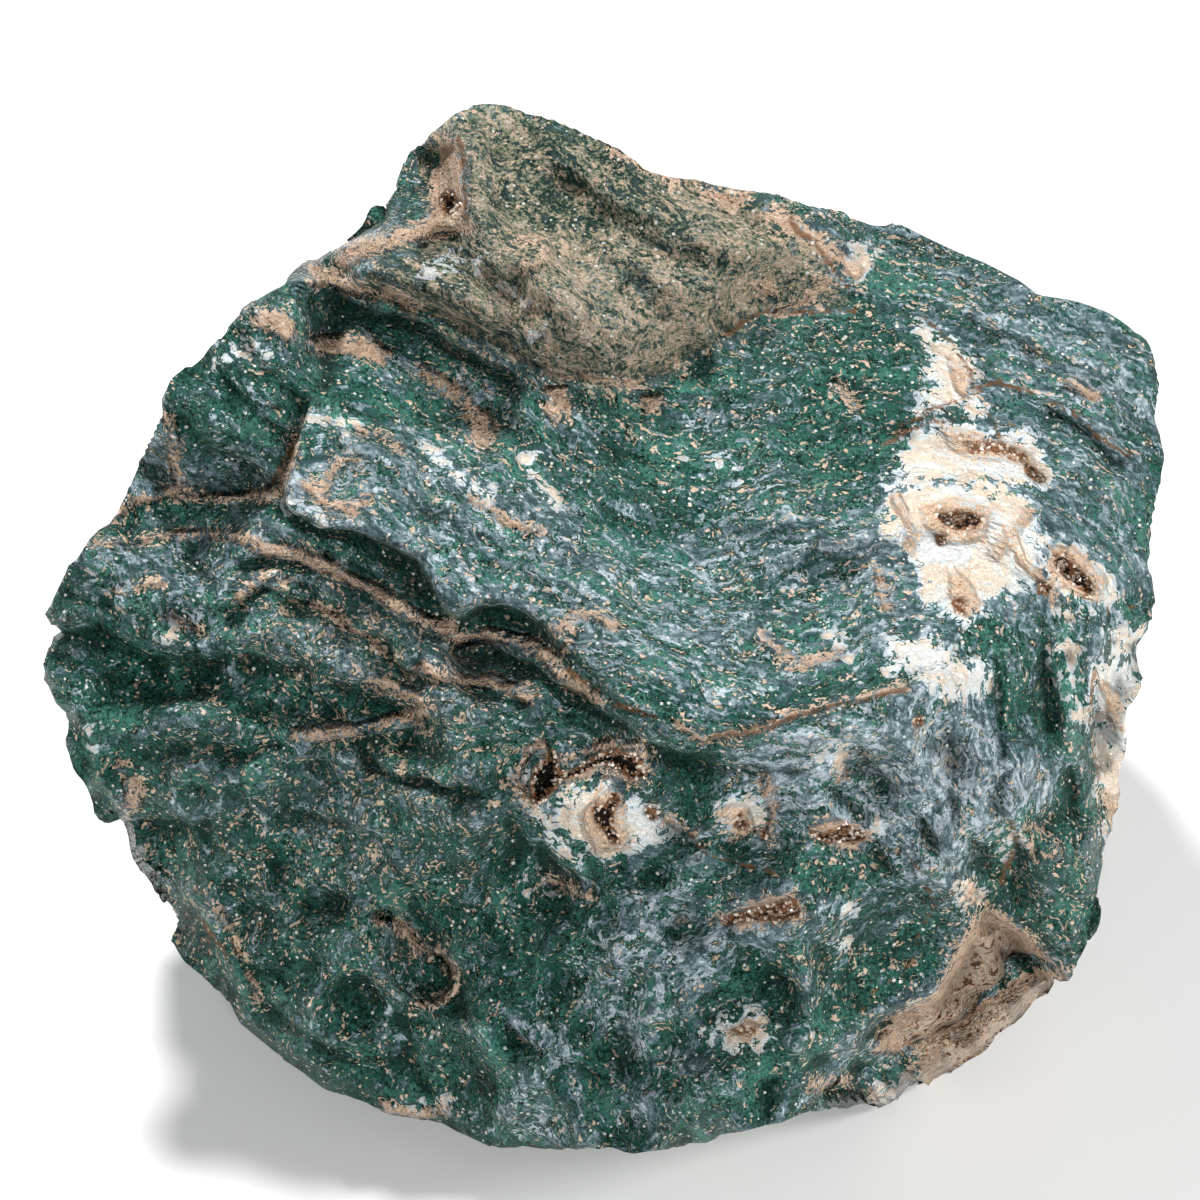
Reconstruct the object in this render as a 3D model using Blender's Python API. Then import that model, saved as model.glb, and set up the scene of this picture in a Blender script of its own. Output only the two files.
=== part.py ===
"""A rough piece of moss agate, about 77 mm wide, as one closed faceted solid.

The form is worked out in the picture's own directions: u runs to the right, v up the picture and d
toward the viewer, all in millimetres, with the viewer standing VIEW_DISTANCE away and looking down by
VIEW_ELEVATION. The near side is a relief d(u, v) made of sloping planes, ledges and hollows. The far side
and the underside, which no view shows, are slanted planes that end on a flat resting spot at z = 0.
"""

import math

import bmesh
import bpy
import numpy as np

MM = 0.001

VIEW_ELEVATION = math.radians(40)
VIEW_DISTANCE = 357.0
PICTURE_HEIGHT = 28.7  # z of the picture's centre above the resting spot

GRID_STEP = 0.25  # spacing of the sampled relief
GRID_U = (-44.0, 44.0)
GRID_V = (-43.0, 39.0)

SIDE_CUTS = 28  # cuts along each side of the cube that the stone is blown up from
CROWDING = 0.42  # how far the mesh is crowded toward the viewer, 0 to 1
CENTRE = (0.0, 5.0, -16.0)  # u, v, d of the point that all the mesh's rays leave from
LONGEST_RAY = 80.0
HALVINGS = 18
SETTLE_ROUNDS = 8
PROBE = 0.35  # how far to each side the outward direction is felt for
LONGEST_STEP = 0.6
BASE_SNAP = 0.12

STONE_GREEN = (0.045, 0.11, 0.09, 1.0)
STONE_ROUGHNESS = 0.35

# The outline as seen, clockwise from the peak.
OUTLINE = [
    (-8.3, 35.4), (-6.5, 35.1), (-5.2, 34.5), (-1.2, 33.8), (0.4, 32.8), (2.2, 31.3), (4.0, 30.3), (10.0, 29.2),
    (14.5, 28.2), (17.2, 27.8), (18.8, 28.0), (20.6, 27.4), (23.5, 25.6), (25.5, 24.6), (30.0, 22.8),
    (31.3, 21.7), (35.0, 21.0), (37.4, 19.8), (39.9, 18.2), (40.6, 17.3), (40.5, 16.4), (39.6, 13.6),
    (39.6, 12.6), (40.2, 10.5), (41.0, 8.7), (40.5, 7.5), (39.2, 5.3), (38.9, 2.5), (40.0, 0.0),
    (40.3, -2.5), (39.1, -5.0), (37.6, -7.8), (37.3, -9.5), (37.4, -11.2), (37.0, -12.7), (37.7, -17.8),
    (37.5, -19.2), (36.1, -22.0), (35.3, -24.8), (35.1, -26.2), (32.0, -28.1), (29.4, -30.5), (27.6, -32.1),
    (25.0, -33.3), (22.5, -36.0), (21.5, -36.3), (15.2, -36.3), (13.0, -37.1), (8.0, -38.5), (5.2, -39.1),
    (3.0, -39.7), (0.6, -38.9), (-4.0, -39.1), (-7.8, -39.1), (-10.0, -38.1), (-16.8, -37.6), (-19.7, -36.2),
    (-23.2, -34.6), (-25.7, -31.3), (-27.6, -28.6), (-30.4, -26.4), (-31.5, -22.7), (-33.3, -19.5),
    (-33.9, -17.7), (-36.8, -15.2), (-37.4, -12.7), (-38.8, -8.3), (-40.2, -5.6), (-39.3, -3.7),
    (-39.3, -0.8), (-36.9, 4.3), (-34.9, 5.2), (-33.1, 8.9), (-31.2, 13.6), (-30.6, 16.3), (-27.6, 18.7),
    (-26.2, 20.6), (-22.5, 22.5), (-20.9, 24.8), (-19.0, 27.0), (-17.5, 27.9), (-15.4, 28.1), (-13.9, 31.6),
    (-11.8, 33.8), (-9.3, 35.1),
]

# The plateau's lip, from the notch on the left past the nearest corner to the right.
LIP = [
    (-20.8, 13.8), (-22.5, 8.0), (-22.4, 6.6), (-20.0, 5.2), (-17.5, 5.0), (-13.0, 2.8), (-11.0, -0.8),
    (-10.0, -1.2), (-8.5, -0.4), (-5.5, -0.8), (-3.0, -3.0), (0.5, -6.3), (1.5, -7.4), (4.5, -8.2),
    (7.6, -10.0), (12.5, -8.2), (22.0, -6.0), (33.0, -2.0), (46.0, -1.0),
]
PLATEAU_BACK = [(46.0, 45.0), (-17.0, 45.0), (-17.0, 22.0)]

# The raised block at the top: its foot from left to right, then round behind the outline.
KNOB = [
    (-20.0, 24.0), (-17.5, 22.6), (-12.5, 20.2), (-7.5, 18.5), (-5.0, 16.8), (-3.0, 15.8), (0.0, 15.4),
    (2.5, 15.2), (6.0, 17.5), (9.0, 19.3), (15.2, 20.4), (17.5, 20.7), (19.6, 22.6), (20.6, 28.0),
    (20.0, 45.0), (-24.0, 45.0), (-24.0, 26.0),
]
KNOB_RIDGE = [(-10.2, 37.0), (-9.8, 31.0), (-10.3, 27.4), (-14.0, 26.6), (-17.5, 25.0), (-24.0, 21.8)]
LOBE = [(-23.0, 22.0), (-20.2, 24.0), (-17.5, 25.4), (-15.0, 27.0), (-14.6, 28.6), (-17.0, 30.0), (-23.0, 27.0)]

# The edge of the lower block on the left, over a steep shaded wall.
BLOCK_EDGE = [(-43.0, -1.8), (-35.5, -0.8), (-32.0, -2.7), (-25.0, -2.9), (-19.0, -4.3), (-13.5, -6.3), (-11.0, -8.0)]

# The ridge along the lower left, where the near face turns into the underside.
UNDER_RIDGE = [
    (-43.0, -1.0), (-40.0, -4.7), (-38.3, -7.0), (-36.7, -9.2), (-35.7, -12.5), (-33.2, -15.8), (-32.7, -18.0),
    (-28.7, -21.9), (-26.5, -25.9), (-25.2, -29.8), (-21.9, -32.2), (-16.2, -35.2), (-12.5, -36.5),
    (-9.0, -38.0), (-2.0, -39.0), (2.0, -43.0),
]

# Small ledges: the line, with the drop on the right of someone walking along it, then the drop, the width
# of its wall and how far beyond it the surface takes to come back to level.
LEDGES = [
    ([(-27.5, 4.6), (-25, 3.4), (-19, 2), (-15, -0.6), (-11, -2.4), (-4.5, -3.9)], 0.9, 0.5, 3.0),
    ([(-27.5, 0.2), (-24, 1), (-20, 0.2), (-15.5, -2.7), (-12, -5.5)], 0.9, 0.5, 3.0),
    ([(-14, -4.4), (-10, -5.9), (-4, -7.5)], 0.7, 0.5, 3.0),
    ([(-12, -3.3), (-5.4, -4.1), (0, -7.5), (5, -10.4), (7.6, -10.9), (10.5, -10.1)], 1.5, 0.8, 4.0),
    ([(-9, 6.2), (-11.5, 7.2), (-14, 10.2), (-17, 11.6), (-20.5, 12.5)], 0.5, 0.4, 4.0),
    ([(-17.2, -10), (-14, -12.7), (-10, -12.9), (-8, -13.8)], 1.4, 0.5, 3.0),
    ([(-34.5, -15.7), (-31, -15.9), (-27, -16.1)], 1.1, 0.5, 4.0),
    ([(-27, -25), (-24, -26.4), (-21.4, -27.6)], 0.6, 0.4, 3.0),
    ([(-26.5, -27.5), (-23, -29.4), (-17.5, -32.2)], 0.7, 0.4, 3.0),
    ([(-17.5, -22.5), (-14.5, -22), (-12.6, -24.6), (-10.2, -26.2)], 1.0, 0.5, 3.0),
    ([(-10.7, -26.2), (-10.8, -27.8), (-12.4, -28.7), (-15.2, -28)], 0.8, 0.4, 2.0),
    ([(-7, -14), (-4.5, -17), (0.8, -21.2)], 0.9, 0.7, 4.0),
    ([(8.2, -22.4), (12.5, -21.2), (14.6, -20.3)], 0.9, 0.4, 2.2),
    ([(-7.5, -29), (-4.5, -31.6), (1.5, -34.2)], 0.5, 0.5, 3.0),
    ([(12.2, -25.8), (14.3, -27.5), (16.2, -31.4)], 0.5, 0.6, 4.0),
    ([(15, -34.8), (18, -35.7), (21.5, -36.1)], 0.9, 0.4, 3.0),
    ([(32, 14.6), (35, 12.2), (38.6, 9.6)], 0.6, 0.5, 4.0),
]

# Hollows that reach into the stone: the outline of the mouth, the depth and the width of the wall.
HOLLOWS = [
    ([(-3.7, -10.2), (-2.4, -11.6), (-2.6, -13.0), (-4.2, -15.0), (-5.4, -13.4), (-5.0, -11.6)], 2.6, 1.3),
    ([(-3, -11.8), (-0.8, -11.2), (1.4, -10.4), (2.8, -10.6), (3.8, -12.6), (0.8, -12.4), (-1.4, -12.8)], 1.8, 1.1),
    ([(1.3, -13.6), (-1.2, -14.9), (0.2, -17.8), (2.1, -17.6), (1.7, -15.4)], 1.9, 1.2),
    ([(14.8, -16.2), (17.4, -15.7), (19.2, -16.9), (17.3, -17.9)], 1.4, 1.1),
    ([(8.4, -22.3), (13.9, -20.9), (14.6, -22.9), (8.8, -23.4)], 1.2, 1.1),
    ([(23.5, 6.5), (25.1, 6.8), (27.6, 5.8), (26.4, 4.6), (24.2, 5.0)], 1.8, 1.2),
    ([(31.9, 3.8), (33.6, 3.7), (36.0, 0.8), (34.7, -0.1), (32.3, 2.4)], 1.7, 1.2),
    ([(25.6, 11.6), (31.0, 10.8), (32.4, 8.6), (30.2, 8.9), (26.0, 10.1)], 0.9, 1.0),
    ([(-12.0, 29.1), (-10.4, 29.6), (-9.7, 28.3), (-11.4, 27.0)], 2.0, 1.3),
]

# The tan crust at the lower right lies in a recess. The dark block beside it and the pale rim stand clear.
CRUST = [
    (27.4, -21.6), (30.3, -23.3), (33.4, -27.2), (38.0, -29.0), (28.0, -41.0), (20.0, -41.0), (14.8, -35.2),
    (17.5, -32.0), (19.6, -29.4), (23.6, -27.8), (24.8, -25.8), (25.8, -24.0),
]
DARK_BLOCK = [
    (31.0, -16.6), (33.0, -15.2), (35.5, -15.0), (36.3, -16.5), (36.1, -20.0), (34.6, -26.0), (33.2, -26.9),
    (31.5, -24.6), (29.7, -19.6),
]
PALE_RIM = [
    (34.8, -4.5), (36.0, -2.0), (43.0, -3.0), (43.0, -22.0), (36.5, -21.5), (36.3, -16.5), (35.2, -14.8),
    (34.9, -10.0),
]

# The far side and the underside: each plane's outward direction and a point on it, in x, y, z before the
# stone is centred.
FAR_PLANES = [
    ((0.20, 0.90, 0.37), (-8, 22, 57)),
    ((0.40, 0.82, 0.41), (38, 10, 44)),
    ((-0.83, 0.54, 0.15), (-29, 5, 48)),
    ((0.98, 0.16, -0.10), (40, -3, 38)),
    ((-0.90, 0.36, -0.22), (-40, -8, 30)),
    ((0.93, 0.05, -0.35), (38.5, -15, 24)),
    ((0.72, 0.68, 0.05), (33, 20, 24)),
    ((0.10, 0.99, 0.00), (0, 31, 24)),
    ((-0.63, 0.50, -0.58), (-33, -11, 11)),
    ((-0.32, -0.18, -0.93), (-25, -19, 6)),
    ((0.00, -0.24, -0.97), (0, -32, 7.2)),
    ((0.40, -0.12, -0.91), (33, -21, 12)),
    ((0.10, 0.50, -0.86), (3, 29, 11)),
    ((-0.50, 0.50, -0.70), (-20, 21, 10)),
    ((0.50, 0.45, -0.74), (24, 20, 12)),
]
FAR_MARGIN = 2.8  # how far outside those points the planes lie
FAR_EDGE = 1.6  # rounding where those planes meet
RIM_SLANT = 0.6  # how fast the outline draws in just behind the rim
RIM_REACH = 5.0  # how far behind the rim that goes on
RIM_SLANT_AFTER = 0.1
SOFT_EDGE_EVERY = 4  # the plainer outline keeps each fourth point
RIM_ROUNDING = 1.3
OUTLINE_MARGIN = 1.3  # what the rounding and the flat faces take off the outline


def lattice_value(column, row, layer, seed):
    """A repeatable value from 0 to 1 for each whole-numbered place."""
    mixed = column * 374761393 + row * 668265263 + layer * 2147483647 + seed * 1442695041
    mixed = mixed.astype(np.int64) & 0xFFFFFFFF
    mixed = ((mixed ^ (mixed >> 13)) * 1274126177) & 0xFFFFFFFF
    return ((mixed ^ (mixed >> 16)) & 0xFFFF) / 65535.0


def noise(points, size, seed):
    """Smooth noise from -0.5 to 0.5 at each point of an (..., 3) array."""
    places = points / size + seed * 7.31
    whole = np.floor(places)
    part = places - whole
    part = part * part * (3 - 2 * part)
    total = 0.0
    for corner in range(8):
        step = np.array([corner & 1, (corner >> 1) & 1, corner >> 2])
        weight = np.prod(np.where(step == 1, part, 1 - part), axis=-1)
        at = (whole + step).astype(np.int64)
        total = total + weight * lattice_value(at[..., 0], at[..., 1], at[..., 2], seed)
    return total - 0.5


def layered_noise(points, size, seed, layers):
    return sum(noise(points, size / 2**k, seed + k) / 2**k for k in range(layers))


def ramp(x):
    """0 below 0 and 1 above 1, with an S curve between."""
    x = np.clip(x, 0, 1)
    return x * x * (3 - 2 * x)


def lower_of(a, b, rounding):
    """The lower of two heights, with the ridge between them rounded."""
    mix = np.clip(0.5 + 0.5 * (b - a) / rounding, 0, 1)
    return b + (a - b) * mix - rounding * mix * (1 - mix)


def higher_of(a, b, rounding):
    return -lower_of(-a, -b, rounding)


def slope(u, v, at, rise):
    """A plane through at = (u, v, d) that rises by rise = (per u, per v)."""
    return at[2] + rise[0] * (u - at[0]) + rise[1] * (v - at[1])


def segments(u, v, ends):
    """For each run between two neighbouring ends: distance squared and side, positive on its left."""
    for (au, av), (bu, bv) in ends:
        eu, ev = bu - au, bv - av
        along = np.clip(((u - au) * eu + (v - av) * ev) / (eu * eu + ev * ev), 0, 1)
        away = (u - au - along * eu) ** 2 + (v - av - along * ev) ** 2
        yield away, np.sign(eu * (v - av) - ev * (u - au))


def depth_inside(u, v, outline):
    """Distance to a closed outline, positive inside."""
    ends = list(zip(outline, outline[1:] + outline[:1]))
    nearest = np.full(u.shape, np.inf)
    within = np.zeros(u.shape, bool)
    for away, _ in segments(u, v, ends):
        nearest = np.minimum(nearest, away)
    for (au, av), (bu, bv) in ends:
        if av != bv:
            within ^= ((av > v) != (bv > v)) & (u < (bu - au) * (v - av) / (bv - av) + au)
    return np.where(within, 1, -1) * np.sqrt(nearest)


def left_of(u, v, line):
    """Distance to an open line, positive on the left of someone walking along it."""
    nearest = np.full(u.shape, np.inf)
    side = np.ones(u.shape)
    for away, turn in segments(u, v, list(zip(line, line[1:]))):
        side = np.where(away < nearest, turn, side)
        nearest = np.minimum(nearest, away)
    return side * np.sqrt(nearest)


def middle_of(u, v, line):
    """1 along the middle of a line, fading to 0 toward both of its ends."""
    (au, av), (bu, bv) = line[0], line[-1]
    eu, ev = bu - au, bv - av
    along = ((u - au) * eu + (v - av) * ev) / (eu * eu + ev * ev)
    return ramp(along / 0.15) * ramp((1 - along) / 0.15)


def notch(u, v, front):
    """The open corner on the left: a low block with a shelf on top, and the wall behind the shelf."""
    wall = slope(u, v, (-27, 7.6, 9.4), (0.10, 0.16))
    above = slope(u, v, (-25, 15.6, 10.5), (0.16, -0.72))
    flank = slope(u, v, (-30.4, 10, 9.4), (1.1, 0.25))
    behind = lower_of(lower_of(wall, above, 0.6), flank, 0.4)
    face = slope(u, v, (-32, -2.7, 13.3), (0.14, -0.34))
    shelf = slope(u, v, (-28, 7.5, 9.6), (0.10, -1.0))
    return higher_of(lower_of(lower_of(face, shelf, 0.8), front, 0.7), behind, 0.5)


def below_lip(u, v, points):
    """Everything under the plateau's lip: the near faces, the layered steps and the notch."""
    right = slope(u, v, (8, -10, 23.4), (-0.34, 0.40)) + 1.2 * layered_noise(points, 15, 7, 2)
    right = lower_of(right, slope(u, v, (33, -9, 14.5), (-0.9, 0.25)), 2.0)
    left = slope(u, v, (8, -10, 22.8), (0.31, 0.40)) + 1.4 * layered_noise(points, 16, 11, 2)
    front = lower_of(left, right, 2.5)
    steps = lower_of(slope(u, v, (-14, -6, 17.6), (0.15, -0.5)), front, 0.7)
    height = steps + (notch(u, v, front) - steps) * ramp((-18 - u) / 6)
    under = -left_of(u, v, BLOCK_EDGE)
    wall = 2.2 * ramp(under / 2.2) * np.exp(-np.maximum(under - 2.2, 0) / 9) * ramp((-9 - u) / 8)
    return np.where(under > 0, np.minimum(height, front) - wall, height)


def plateau(u, v, points):
    level = slope(u, v, (8, -10, 24), (-0.05, -0.62)) + 1.4 * layered_noise(points, 17, 3, 2)
    return lower_of(level, slope(u, v, (31, 5, 14), (-0.62, -0.30)), 3.0)


def knob(u, v, height):
    """The block that stands on the back of the plateau, with its left face and the lobe behind it."""
    inner = np.maximum(depth_inside(u, v, KNOB), 0)
    tall = 5.2 * (1 - 0.72 * ramp((u - 2) / 20))
    width = 2.2 + 1.6 * ramp((u + 8) / 8)
    raised = height + tall * (1 - np.exp(-((inner / width) ** 1.3)))
    behind = np.maximum(-left_of(u, v, KNOB_RIDGE), 0) * (inner > 0)
    raised = raised - np.minimum(4.0, 1.5 * behind)
    lobe = depth_inside(u, v, LOBE)
    return raised - np.where(lobe > 0, 2.2 * ramp(lobe / 0.6) - 1.6 * ramp(lobe / 2.5), 0)


def ledges(u, v):
    total = np.zeros(u.shape)
    for line, drop, width, reach in LEDGES:
        away = np.maximum(-left_of(u, v, line), 0)
        fall = ramp(away / width) * np.exp(-np.maximum(away - width, 0) / reach)
        total += drop * fall * middle_of(u, v, line)
    return total


def hollows(u, v):
    return sum(depth * ramp(depth_inside(u, v, mouth) / width + 0.3) for mouth, depth, width in HOLLOWS)


def right_rim(u, v, points):
    """How far the crust's recess, the dark block and the pale rim change the height."""
    crust = depth_inside(u, v, CRUST)
    block = depth_inside(u, v, DARK_BLOCK)
    pale = depth_inside(u, v, PALE_RIM)
    recess = 1.8 * layered_noise(points, 4.2, 31, 2) - 2.6 * ramp((u - 15) / 9)
    lumpy = 0.9 * layered_noise(points, 2.4, 41, 2) - 1.2
    return recess * ramp(crust / 1.5) + 1.8 * ramp(block / 1.4) + lumpy * ramp(pale / 0.8)


def relief(u, v):
    """Height toward the viewer over the whole picture."""
    points = np.stack([u, v, np.zeros(u.shape)], axis=-1)
    low = below_lip(u, v, points)
    on_plateau = depth_inside(u, v, LIP + PLATEAU_BACK)
    height = low + (plateau(u, v, points) - low) * ramp(on_plateau / 0.7 + 0.6)
    height = knob(u, v, height) + right_rim(u, v, points) - ledges(u, v) - hollows(u, v)
    under = np.maximum(-left_of(u, v, UNDER_RIDGE), 0)
    return height - 2.1 * under - 0.8 * ramp(under / 0.8)


def relief_tables():
    """The relief, its steepness and the distances to the outline and to a plainer one, on a regular grid."""
    columns = np.arange(GRID_U[0], GRID_U[1], GRID_STEP)
    rows = np.arange(GRID_V[0], GRID_V[1], GRID_STEP)
    u, v = np.meshgrid(columns, rows)
    height = relief(u, v)
    per_v, per_u = np.gradient(height, GRID_STEP)
    edge = depth_inside(u, v, OUTLINE) + OUTLINE_MARGIN
    soft_edge = depth_inside(u, v, OUTLINE[::SOFT_EDGE_EVERY]) + OUTLINE_MARGIN
    return height, np.sqrt(1 + per_u**2 + per_v**2), edge, soft_edge


def read_table(table, u, v):
    """Values between the samples, by straight interpolation both ways."""
    column = np.clip((u - GRID_U[0]) / GRID_STEP, 0, table.shape[1] - 1.001)
    row = np.clip((v - GRID_V[0]) / GRID_STEP, 0, table.shape[0] - 1.001)
    i, j = column.astype(int), row.astype(int)
    x, y = column - i, row - j
    near = table[j, i] * (1 - x) + table[j, i + 1] * x
    far = table[j + 1, i] * (1 - x) + table[j + 1, i + 1] * x
    return near * (1 - y) + far * y


def picture_to_world(points):
    """Turns (right, up the picture, toward the viewer) into x, y, z."""
    right, up, toward = points[..., 0], points[..., 1], points[..., 2]
    y = up * math.sin(VIEW_ELEVATION) - toward * math.cos(VIEW_ELEVATION)
    z = up * math.cos(VIEW_ELEVATION) + toward * math.sin(VIEW_ELEVATION) + PICTURE_HEIGHT
    return np.stack([right, y, z], axis=-1)


def far_side(world):
    """How far a point lies outside the planes of the far side and the underside."""
    total = np.full(world.shape[:-1], -100.0)
    for direction, at in FAR_PLANES:
        outward = np.array(direction) / np.linalg.norm(direction)
        total = higher_of(total, (world - np.array(at, float)) @ outward, FAR_EDGE)
    return total - FAR_MARGIN + 2.4 * noise(world, 17, 5) - 1.2 * layered_noise(world, 7, 21, 2)


def outside(points, tables):
    """Below 0 inside the stone and above 0 outside it, near enough a distance in millimetres."""
    surface, steepness, edge, soft_edge = tables
    shrink = VIEW_DISTANCE / (VIEW_DISTANCE - points[..., 2])
    u, v = points[..., 0] * shrink, points[..., 1] * shrink
    beyond = points[..., 2] - read_table(surface, u, v)
    behind = np.maximum(-beyond, 0)
    inner = read_table(edge, u, v)
    inner += (read_table(soft_edge, u, v) - inner) * ramp(behind / RIM_REACH)
    rim = RIM_SLANT * np.minimum(behind, RIM_REACH) + RIM_SLANT_AFTER * behind - inner
    world = picture_to_world(points)
    body = higher_of(beyond / read_table(steepness, u, v), rim, RIM_ROUNDING)
    body = np.maximum(body, far_side(world))
    return np.maximum(body, -world[..., 2])


def crossing(directions, tables):
    """Where the ray from CENTRE along each direction leaves the stone, found by halving."""
    start = np.array(CENTRE)
    near = np.zeros(len(directions))
    far = np.full(len(directions), LONGEST_RAY)
    for _ in range(HALVINGS):
        middle = (near + far) / 2
        within = outside(start + directions * middle[:, None], tables) < 0
        near = np.where(within, middle, near)
        far = np.where(within, far, middle)
    return (near + far) / 2


def blown_up_cube():
    """A cube of evenly cut sides, in a bmesh that later takes the stone's form."""
    mesh = bmesh.new()
    bmesh.ops.create_cube(mesh, size=2.0)
    bmesh.ops.subdivide_edges(mesh, edges=mesh.edges[:], cuts=SIDE_CUTS, use_grid_fill=True)
    bmesh.ops.triangulate(mesh, faces=mesh.faces[:], quad_method="SHORT_EDGE")
    mesh.verts.ensure_lookup_table()
    return mesh


def ray_directions(cube_points):
    """Directions from the cube's points, evened out over the sphere and crowded toward the viewer."""
    rounded = np.tan(cube_points * math.pi / 4)
    rounded /= np.linalg.norm(rounded, axis=1, keepdims=True)
    rounded[:, 2] += CROWDING
    return rounded / np.linalg.norm(rounded, axis=1, keepdims=True)


def outward_at(points, tables):
    """The direction in which each point leaves the stone fastest, and how fast."""
    change = np.empty_like(points)
    for axis in range(3):
        step = np.zeros(3)
        step[axis] = PROBE
        change[:, axis] = outside(points + step, tables) - outside(points - step, tables)
    rate = np.linalg.norm(change, axis=1, keepdims=True) + 1e-9
    return change / rate, np.maximum(rate / (2 * PROBE), 0.5)


def settled(points, links, tables):
    """Points spread evenly among their neighbours, and brought back to the surface after each move."""
    for _ in range(SETTLE_ROUNDS):
        total = np.zeros_like(points)
        count = np.zeros(len(points))
        for a, b in ((0, 1), (1, 0)):
            np.add.at(total, links[:, a], points[links[:, b]])
            np.add.at(count, links[:, a], 1)
        outward, rate = outward_at(points, tables)
        move = (total / count[:, None] - points) / 2
        points = points + move - outward * np.sum(move * outward, axis=1, keepdims=True)
        for _ in range(2):
            gap = outside(points, tables)[:, None] / rate
            points = points - outward * np.clip(gap, -LONGEST_STEP, LONGEST_STEP)
    return points


def stone_points(mesh, tables):
    cube_points = np.array([vertex.co for vertex in mesh.verts])
    links = np.array([[vertex.index for vertex in edge.verts] for edge in mesh.edges])
    directions = ray_directions(cube_points)
    points = np.array(CENTRE) + directions * crossing(directions, tables)[:, None]
    world = picture_to_world(settled(points, links, tables))
    world[:, 2] = np.where(world[:, 2] < BASE_SNAP, 0.0, world[:, 2])
    middle = (world.min(axis=0) + world.max(axis=0)) / 2
    print("centred by", middle[:2].round(3), "mm, size", np.ptp(world, axis=0).round(2), "mm")
    return world - [middle[0], middle[1], 0]


def stone_material():
    material = bpy.data.materials.new("moss_agate_stone")
    material.use_nodes = True
    shader = material.node_tree.nodes["Principled BSDF"]
    shader.inputs["Base Color"].default_value = STONE_GREEN
    shader.inputs["Roughness"].default_value = STONE_ROUGHNESS
    shader.inputs["Metallic"].default_value = 0.0
    return material


def moss_agate():
    mesh = blown_up_cube()
    points = stone_points(mesh, relief_tables())
    for vertex, point in zip(mesh.verts, points):
        vertex.co = point * MM
    data = bpy.data.meshes.new("moss_agate")
    mesh.to_mesh(data)
    mesh.free()
    data.materials.append(stone_material())
    bpy.context.scene.collection.objects.link(bpy.data.objects.new("moss_agate", data))


def main():
    for leftover in list(bpy.data.objects):
        bpy.data.objects.remove(leftover, do_unlink=True)
    moss_agate()


main()
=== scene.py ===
import math

import bpy
import numpy as np
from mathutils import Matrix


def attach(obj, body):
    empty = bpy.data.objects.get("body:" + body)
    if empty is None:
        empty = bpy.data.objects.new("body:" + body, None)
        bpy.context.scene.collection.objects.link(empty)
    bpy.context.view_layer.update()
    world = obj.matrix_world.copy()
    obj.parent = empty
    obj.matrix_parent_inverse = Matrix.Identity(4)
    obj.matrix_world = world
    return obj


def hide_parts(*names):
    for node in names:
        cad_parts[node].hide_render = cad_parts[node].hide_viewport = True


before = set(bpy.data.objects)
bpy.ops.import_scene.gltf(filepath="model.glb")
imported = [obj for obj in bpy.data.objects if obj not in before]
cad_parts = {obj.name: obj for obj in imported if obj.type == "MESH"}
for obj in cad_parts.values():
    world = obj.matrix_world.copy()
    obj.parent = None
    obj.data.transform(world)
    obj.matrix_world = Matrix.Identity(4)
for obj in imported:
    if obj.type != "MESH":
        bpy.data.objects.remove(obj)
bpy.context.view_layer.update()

mm = 0.001

# The picture's own directions: u to the right, v up the picture, d toward the viewer, all in millimetres.
pictureView = {
    "elevation": math.radians(40),
    "distance": 357.0,
    "centreHeight": 28.7,  # height of the picture's centre above the floor
    "centredBy": (0.723, 1.8),  # x and y that the stone was shifted by to stand over the origin
    "lens": 150.0,
    "sensor": 36.0,
}

stoneMesh = {
    "sideCuts": 128,  # quads along each side of the cube that the stone is blown up from
    "crowding": 0.5,  # how far the quads are crowded toward the viewer
    "centre": (0.0, 5.0, -16.0),
    "longestRay": 80.0,
    "halvings": 16,
    "settleRounds": 14,
    "probe": 0.3,
    "longestStep": 0.5,
    "baseSnap": 0.1,
    "rimSnap": 0.55,  # points this near to the outline, as seen, are moved onto it
    "rimSmoothing": 2,
    "rimPull": 2.0,  # how much closer together the points stand along the outline
    "tableStep": 0.125,
    "tableU": (-44.0, 44.0),
    "tableV": (-43.0, 39.0),
}

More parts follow.
